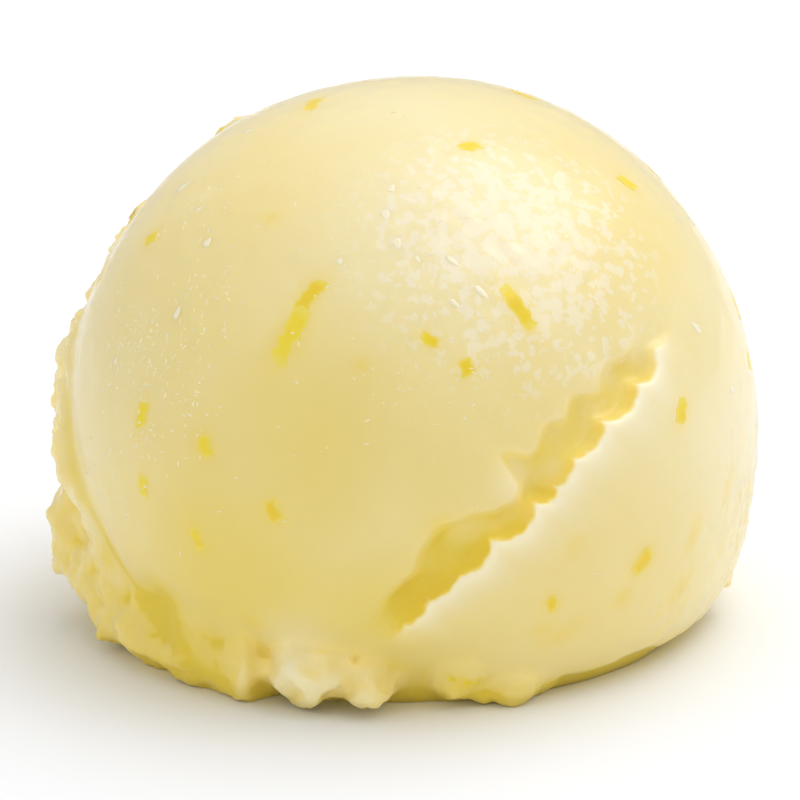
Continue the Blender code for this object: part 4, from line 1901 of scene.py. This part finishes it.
@dataclass
class IceFlakes(Strips):
    """Thin curved flakes of ice, most of them in patches where the cap is frosty."""

    # Azimuth and elevation of the middle, reach in mm, and the number of flakes.
    patches: tuple = (
        (-50, 22, 6.0, 190),
        (-42, 36, 3.0, 24),
        (-57, 46, 3.0, 30),
        (-56, 4, 4.5, 24),
        (-10, 45, 5.0, 50),
        (6, 27, 5.5, 60),
        (-30, 18, 12.0, 24),
        (30, 20, 9.0, 12),
        (20, 45, 11.0, 40),
        (128, 34, 7.0, 110),
        (196, 12, 8.0, 110),
        (240, 45, 6.0, 80),
    )
    # A patch's spread as a share of its reach, and the most groove where a flake may lie.
    spread_share: float = 0.7
    groove_limit: float = 0.05
    # The least and the most length and width, in mm.
    sizes: tuple = ((0.14, 0.06), (0.5, 0.12))
    seed: int = 47
    thickness: float = 0.05 * MM
    proud: float = 0.035 * MM
    lengthwise: int = 6
    across: int = 2
    taper: float = 0.8
    tear: float = 0.2
    tear_wave: float = 0.4 * MM
    slant: float = 0.4
    curve: float = 2.2

    def placements(self, seam: Seam) -> list[tuple]:
        """Lists every flake: round each patch's middle by a normal spread, off the groove.

        Args:
            seam: The seam, whose groove they keep off.

        Returns:
            Azimuth, elevation, heading, length and width of each.
        """
        random = np.random.default_rng(self.seed)
        flakes = []
        for azimuth, elevation, reach, count in self.patches:
            out, along, beside = lying_axes(azimuth, elevation, 0)
            spread_angle = self.spread_share * reach * MM / seam.ball_radius
            for _ in range(count):
                x, y = random.normal(0, spread_angle, 2)
                direction = out + x * along + y * beside
                direction /= np.linalg.norm(direction)
                heading = random.uniform(0, 180)
                size = random.uniform(*self.sizes)
                if seam.groove_share(direction[None, :])[0] > self.groove_limit:
                    continue
                bearing = math.degrees(math.atan2(direction[0], -direction[1]))
                flakes.append((bearing, math.degrees(math.asin(direction[2])), heading, *size))
        return flakes

    def build(self, ball: Ball, skin: bpy.types.Object) -> bpy.types.Object:
        """Makes the flakes on the skin as one object."""
        return self.lay("ice_flakes", self.placements(ball.seam), ball, skin)


@dataclass
class MeltDrops:
    """Small drops of melt that have frozen on the surface."""

    # Azimuth and elevation on the ball, heading, length and width in mm.
    front: tuple = (
        (-48.1, 42.8, 80, 0.9, 0.7),
        (-47.0, 30.7, 85, 1.2, 0.6),
        (-57.5, 47.5, 60, 0.9, 0.4),
        (-59.0, 20.0, 75, 0.8, 0.4),
        (-2.5, 47.0, -75, 1.1, 0.7),
        (2.1, 44.2, -60, 0.8, 0.4),
        (-5.0, 58.0, 70, 0.9, 0.6),
        (-5.6, 52.5, -60, 1.1, 0.7),
        (9.5, 43.6, -48, 1.3, 0.5),
        (14.5, 38.0, -50, 1.5, 0.5),
        (9.0, 36.5, -45, 1.0, 0.4),
        (4.3, 37.4, -60, 0.6, 0.4),
        (-14.7, 43.7, 60, 0.6, 0.5),
        (30.5, 37.0, 75, 0.8, 0.5),
    )
    # The hidden drops: how many, least and most azimuth, elevation and heading, and least and most
    # length and width.
    back_count: int = 24
    back_places: tuple = ((60, 290), (5, 70), (50, 130))
    back_sizes: tuple = ((0.7, 0.4), (1.6, 0.9))
    seed: int = 43
    height_share: float = 0.06
    taper: float = 0.45
    divisions: int = 6

    def placements(self) -> list[tuple]:
        """Lists every drop: the front ones as seen, and the others by a seeded rule.

        Returns:
            Azimuth, elevation, heading, length and width of each.
        """
        random = np.random.default_rng(self.seed)
        drops = list(self.front)
        for _ in range(self.back_count):
            place = tuple(random.uniform(*limits) for limits in self.back_places)
            drops.append(place + tuple(random.uniform(*self.back_sizes)))
        return drops

    def build(self, ball: Ball) -> bpy.types.Object:
        """Makes all drops as one object.

        Each is a sphere flattened to the drop's height and narrowed towards its upper end, with its
        middle on the ball's surface.

        Args:
            ball: The ball that they lie on.

        Returns:
            The object.
        """
        sphere, squares = sphere_grid(self.divisions)
        pieces = []
        for azimuth, elevation, heading, length, width in self.placements():
            out, along, beside = lying_axes(azimuth, elevation, heading)
            narrow = 1 - self.taper * sphere[:, 0]
            half = np.array([length / 2, width / 2, self.height_share * (length + width) / 2]) * MM
            points = sphere * half
            points[:, 1:] *= narrow[:, None]
            middle = np.array(ball.centre) + out * ball.radius_at(out[None, :])[0]
            pieces.append(middle + points @ np.array([along, beside, out]))
        thing = new_object("melt_drops", new_mesh("melt_drops", *joined(pieces, squares)))
        thing.data.shade_smooth()
        thing.visible_shadow = False
        return thing


@dataclass
class SorbetDress:
    """What the sorbet's material reads from its mesh for each point: the values of its traces."""

    body: SorbetBody
    zest: ZestShreds
    # The rounds that soften the skin for the near depth, and how many more for the far one.
    near_rounds: int = 14
    far_rounds: int = 120
    # The yellow round a shred: the most round one that shows and round a buried one, and the reach
    # in shares of its length and width.
    bleed: float = 0.6
    blur: float = 0.4
    bleed_along: float = 0.62
    bleed_across: float = 0.75
    # What makes a point yellower by a length in mm: the most, and where it begins and is full. The
    # first three rise with how deep it lies, and the others fall with its height. This yellow is
    # painted
    # shade: deeper in recesses and creases, in dents, by the table and low down.
    far_yellow: tuple = (0.8, 0.1, 1.2)
    near_yellow: tuple = (0.2, 0.02, 0.2)
    dent_yellow: tuple = (0.6, 0.05, 0.5)
    contact_yellow: tuple = (0.7, 0.2, 3.0)
    foot_yellow: tuple = (0.3, 3.0, 22.0)
    # Painted shade too: deeper yellow under the hem, behind the left rim, in the seam's groove and
    # on the wall under its lip, and on the skirt's left.
    hem_yellow: float = 0.6
    rim_yellow: float = 0.55
    rim_place: float = 0.4 * MM
    rim_width: float = 0.9 * MM
    rim_left: tuple = (0.3, 0.75)
    groove_yellow: float = 0.47
    groove_uneven: float = 0.14
    groove_wave: float = 3 * MM
    # The share of the far depth's painted shade that the groove does without.
    groove_spared: float = 0.8
    wall_yellow: float = 0.2
    left_yellow: float = 0.2
    skirt_left: tuple = (0.2, 0.7)
    # The rime: a band inside the left rim, with its place, its width and the sines of the elevation
    # between which it begins; the ridges, painted paler as painted light, by the rule of the
    # yellows;
    # and the lip.
    band_pale: float = 0.15
    band_place: float = -4.0 * MM
    band_width: float = 3.2 * MM
    band_rise: tuple = (-0.35, 0.1)
    ridge_pale: tuple = (0.18, 0.15, 0.7)
    lip_pale: float = 0.75
    # Azimuth and elevation of the middle, reach in mm, and the share of deeper yellow there. On the
    # front's middle and left it is painted shade.
    yellow_patches: tuple = (
        (-18, 14, 13.0, 0.52),
        (-38, 30, 9.0, 0.32),
        (-30, -4, 12.0, 0.54),
        (-6, -12, 11.0, 0.38),
        (4, 11, 11.0, 0.38),
        (62, 48, 7.0, 0.3),
        (150, 20, 12.0, 0.35),
        (236, 30, 12.0, 0.35),
    )
    # Where the sorbet is paler, in the same words. Those on top and round the right are painted
    # highlight and sheen, and the others paler spots of sorbet.
    pale_and_highlight_patches: tuple = (
        (12, 56, 17.0, 0.42),
        (17.3, 8.2, 2.4, 0.4),
        (46.8, 25.3, 3.0, 0.3),
        (0, 76, 12.0, 0.35),
        (27, 32, 8.0, 0.25),
        (-19, -22, 4.4, 0.42),
        (-10, -25, 3.6, 0.32),
        (66, 6, 11.0, 0.4),
        (66, 26, 8.0, 0.25),
        (-58, 18, 9.0, 0.2),
        (112, 10, 12.0, 0.3),
        (200, 40, 13.0, 0.3),
    )

    def store_values(self, mesh: bpy.types.Mesh) -> None:
        """Works out the five values for each point and keeps them on the mesh.

        A point gets painted shade, its hollow value, by how deep it lies, in the groove, low down,
        behind the left rim and in patches. How deep it lies is how far the softened skin stands
        over it, at a near and a far scale. A point that stands out lies on a ridge, which is
        painted paler as painted light.

        Args:
            mesh: The skin's mesh.
        """
        points = points_of(mesh)
        normals = normals_of(mesh)
        edges = edges_of(mesh)
        directions, _ = self.body.ball.directions_of(points)
        near = spread(points, edges, self.near_rounds)
        far = spread(near, edges, self.far_rounds)
        near_depth = ((near - points) * normals).sum(axis=1)
        far_depth = ((far - points) * normals).sum(axis=1)
        torn, skirt, groove = self.body.zones(points)
        rough = np.clip(torn + skirt, 0, 1)
        # Painted shade: deeper yellow in recesses and creases, in the groove, low down, behind the
        # left rim and in patches.
        hollow = (
            risen(far_depth, self.far_yellow) * (1 - self.groove_spared * groove)
            + risen(near_depth, self.near_yellow) * rough
            + self.groove_shade(points, directions, groove)
            + self.foot_shade(points, directions, skirt)
            + self.rim_yellow * self.left_of_rim(directions, self.rim_place, self.rim_width)
            + self.body.ball.patches(directions, self.yellow_patches)
        )
        # Ridges, which stand out, are painted paler as painted light.
        rime_and_highlight = self.rime_and_highlight(directions) + risen(-far_depth, self.ridge_pale) * rough
        store(mesh, Trace.HOLLOW_SHADE, np.clip(hollow, 0, 1))
        store(mesh, Trace.TORN, rough)
        store(mesh, Trace.RIME_AND_HIGHLIGHT, np.clip(rime_and_highlight, 0, 1))
        store(mesh, Trace.TINT, self.tint(directions))
        store(mesh, Trace.GLAZE_AND_HIGHLIGHT, self.body.glaze_and_highlight_share(points))

    def groove_shade(self, points: Array, directions: Array, groove: Array) -> Array:
        """Gives the painted shade in the groove, a yellow uneven by waves, and on the wall under
        the lip.

        Args:
            points: Places on the skin, one row each.
            directions: Unit vectors, one row each.
            groove: The share of groove for each.

        Returns:
            The yellow for each point.
        """
        uneven = self.groove_uneven * waves(points, self.groove_wave, seed=51)
        wall = self.body.ball.seam.wall_share(directions)
        return (self.groove_yellow + uneven) * groove + self.wall_yellow * wall

    def foot_shade(self, points: Array, directions: Array, skirt: Array) -> Array:
        """Gives the painted shade low down: by the table, under the hem, in the dents and on the
        left.

        Args:
            points: Places on the skin, one row each.
            directions: Unit vectors, one row each.
            skirt: The share of skirt for each.

        Returns:
            The yellow for each point.
        """
        ball = self.body.ball
        heights = points[:, 2]
        left_skirt = skirt * smooth_step(-directions[:, 0], *self.skirt_left)
        return (
            fallen(heights, self.contact_yellow)
            + fallen(heights, self.foot_yellow)
            + risen(ball.dent_depth(directions), self.dent_yellow)
            + self.hem_yellow * ball.under_hem(directions)
            + self.left_yellow * left_skirt
        )

    def left_of_rim(self, directions: Array, place: float, width: float) -> Array:
        """Gives a bell curve at a place behind the left rim, or inside it if place is negative."""
        behind = self.body.ball.rim.behind(directions)
        return hump(behind - place, width) * smooth_step(-directions[:, 0], *self.rim_left)

    def rime_and_highlight(self, directions: Array) -> Array:
        """Gives the rime of the band inside the cap's left rim and of the lip, and the pale
        patches, which on top and round the right are painted highlight and sheen.

        Args:
            directions: Unit vectors, one row each.

        Returns:
            The rime for each direction.
        """
        band = self.left_of_rim(directions, self.band_place, self.band_width)
        band = band * smooth_step(directions[:, 2], *self.band_rise)
        lip = self.body.ball.seam.lip_share(directions)
        patches = self.body.ball.patches(directions, self.pale_and_highlight_patches)
        return self.band_pale * band + self.lip_pale * lip + patches

    def tint(self, directions: Array) -> Array:
        """Gives the yellow that bleeds from the shreds: the most of bell curves round them all.

        Args:
            directions: Unit vectors, one row each.

        Returns:
            The tint for each direction.
        """
        radius = self.body.ball.radius
        shown = self.zest.placements(self.body.ball.seam)
        tint = np.zeros(len(directions))
        for index, shred in enumerate(shown + list(self.zest.buried)):
            azimuth, elevation, heading, length, width = shred
            out, along, beside = lying_axes(azimuth, elevation, heading)
            x = directions @ along * radius / (self.bleed_along * length * MM)
            y = directions @ beside * radius / (self.bleed_across * width * MM)
            strength = self.bleed if index < len(shown) else self.blur
            tint = np.maximum(tint, strength * np.exp(-(x**2) - y**2) * (directions @ out > 0))
        return tint


@dataclass(frozen=True)
class Lamp:
    """A rectangle of white light that faces the scoop."""

    name: str
    direction: tuple
    distance: float
    width: float
    depth: float
    power: float
    reflected: bool = True

    def hang(self, target: Vector) -> None:
        """Adds the lamp to the scene, turned towards a point.

        Args:
            target: The point that it faces.
        """
        light = bpy.data.lights.new(self.name, "AREA")
        light.shape = "RECTANGLE"
        light.size = self.width
        light.size_y = self.depth
        light.energy = self.power
        lamp = bpy.data.objects.new(self.name, light)
        lamp.visible_glossy = self.reflected
        bpy.context.scene.collection.objects.link(lamp)
        direction = Vector(self.direction).normalized()
        lamp.location = target + direction * self.distance
        lamp.rotation_mode = "QUATERNION"
        lamp.rotation_quaternion = direction.to_track_quat("Z", "Y")


@dataclass(frozen=True)
class Studio:
    """The table, the lights and the camera."""

    target: tuple = BALL_CENTRE
    distance: float = 0.45
    elevation: float = 18.0
    # The photograph's frame, in pixels, with the ball's middle and the size of its radius in it.
    frame_side: float = 800.0
    middle_x: float = 408.0
    middle_y: float = 424.0
    radius_pixels: float = 350.0
    radius: float = BALL_RADIUS
    sensor: float = 36.0
    nearest: float = 0.01
    table_side: float = 6.0
    table_white: tuple = (0.94, 0.955, 0.995, 1)
    table_roughness: float = 0.7
    table_reflection: float = 0.2
    surroundings: float = 0.59
    lamps: tuple = (
        Lamp("softbox", (0.47, 0.04, 0.88), 0.6, 0.7, 0.5, 1.45),
        Lamp("glint", (0.50, 0.05, 0.86), 0.6, 0.15, 0.15, 0.14),
        Lamp("ceiling", (0.14, 0.46, 0.88), 0.6, 0.6, 0.6, 1.15, False),
        Lamp("fill", (-0.77, -0.50, 0.40), 0.6, 0.5, 0.5, 0.36),
    )

    def build(self) -> None:
        """Makes the table, the surroundings, the lamps and the camera."""
        self.add_table()
        self.add_surroundings()
        for lamp in self.lamps:
            lamp.hang(Vector(self.target))
        self.add_camera()

    def add_table(self) -> None:
        """Makes the white table top."""
        half = self.table_side / 2
        corners = np.array([[-half, -half, 0], [half, -half, 0], [half, half, 0], [-half, half, 0]])
        table = new_object("table", new_mesh("table", corners, np.array([[0, 1, 2, 3]])))
        material, graph, surface = new_material("white_table")
        graph.feed(
            surface,
            Base_Color=self.table_white,
            Roughness=self.table_roughness,
            Specular_IOR_Level=self.table_reflection,
        )
        table.data.materials.append(material)

    def add_surroundings(self) -> None:
        """Surrounds the table with even white light."""
        world = bpy.data.worlds.new("white_room")
        world.use_nodes = True
        background = world.node_tree.nodes["Background"]
        background.inputs["Color"].default_value = (1, 1, 1, 1)
        background.inputs["Strength"].default_value = self.surroundings
        bpy.context.scene.world = world

    def add_camera(self) -> None:
        """Sets the camera in front, so that the ball falls on the photograph's pixels."""
        data = bpy.data.cameras.new("camera")
        pixels_per_metre = self.radius_pixels / self.radius
        data.sensor_width = self.sensor
        data.lens = pixels_per_metre * self.distance / self.frame_side * self.sensor
        data.shift_x = (self.frame_side / 2 - self.middle_x) / self.frame_side
        data.shift_y = (self.middle_y - self.frame_side / 2) / self.frame_side
        data.clip_start = self.nearest
        camera = bpy.data.objects.new("camera", data)
        back = Vector(unit(0, self.elevation))
        camera.location = Vector(self.target) + back * self.distance
        camera.rotation_mode = "QUATERNION"
        camera.rotation_quaternion = (-back).to_track_quat("-Z", "Y")
        bpy.context.scene.collection.objects.link(camera)
        bpy.context.scene.camera = camera


def attach(piece: bpy.types.Object, material: bpy.types.Material) -> None:
    """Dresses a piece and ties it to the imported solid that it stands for.

    Args:
        piece: The finished piece.
        material: What it is dressed in.
    """
    piece.data.materials.clear()
    piece.data.materials.append(material)
    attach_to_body(piece, BODY)
    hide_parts(SOLID)


def main() -> None:
    """Builds the scoop piece by piece, then the studio round it."""
    logging.basicConfig(level=logging.INFO, format="%(message)s")
    mottle, grain, scale = mottle_group(), grain_group(), highlight_scales_group()
    body = SorbetBody()
    zest = ZestShreds()

    skin = body.build()
    SorbetDress(body, zest).store_values(skin.data)
    attach(skin, SorbetFinish().material(mottle, grain, scale))
    log.info("sorbet body: %d faces", len(skin.data.polygons))

    shreds = zest.build(body.ball, skin)
    attach(shreds, ZestFinish().material(mottle))
    log.info("zest shreds: %d faces", len(shreds.data.polygons))

    ice = IceFinish().material(mottle)
    drops = MeltDrops().build(body.ball)
    attach(drops, ice)
    log.info("melt drops: %d faces", len(drops.data.polygons))

    flakes = IceFlakes().build(body.ball, skin)
    attach(flakes, ice)
    log.info("ice flakes: %d faces", len(flakes.data.polygons))

    Studio().build()
    scene = bpy.context.scene
    scene.view_settings.view_transform = "Standard"


if __name__ == "__main__":
    main()
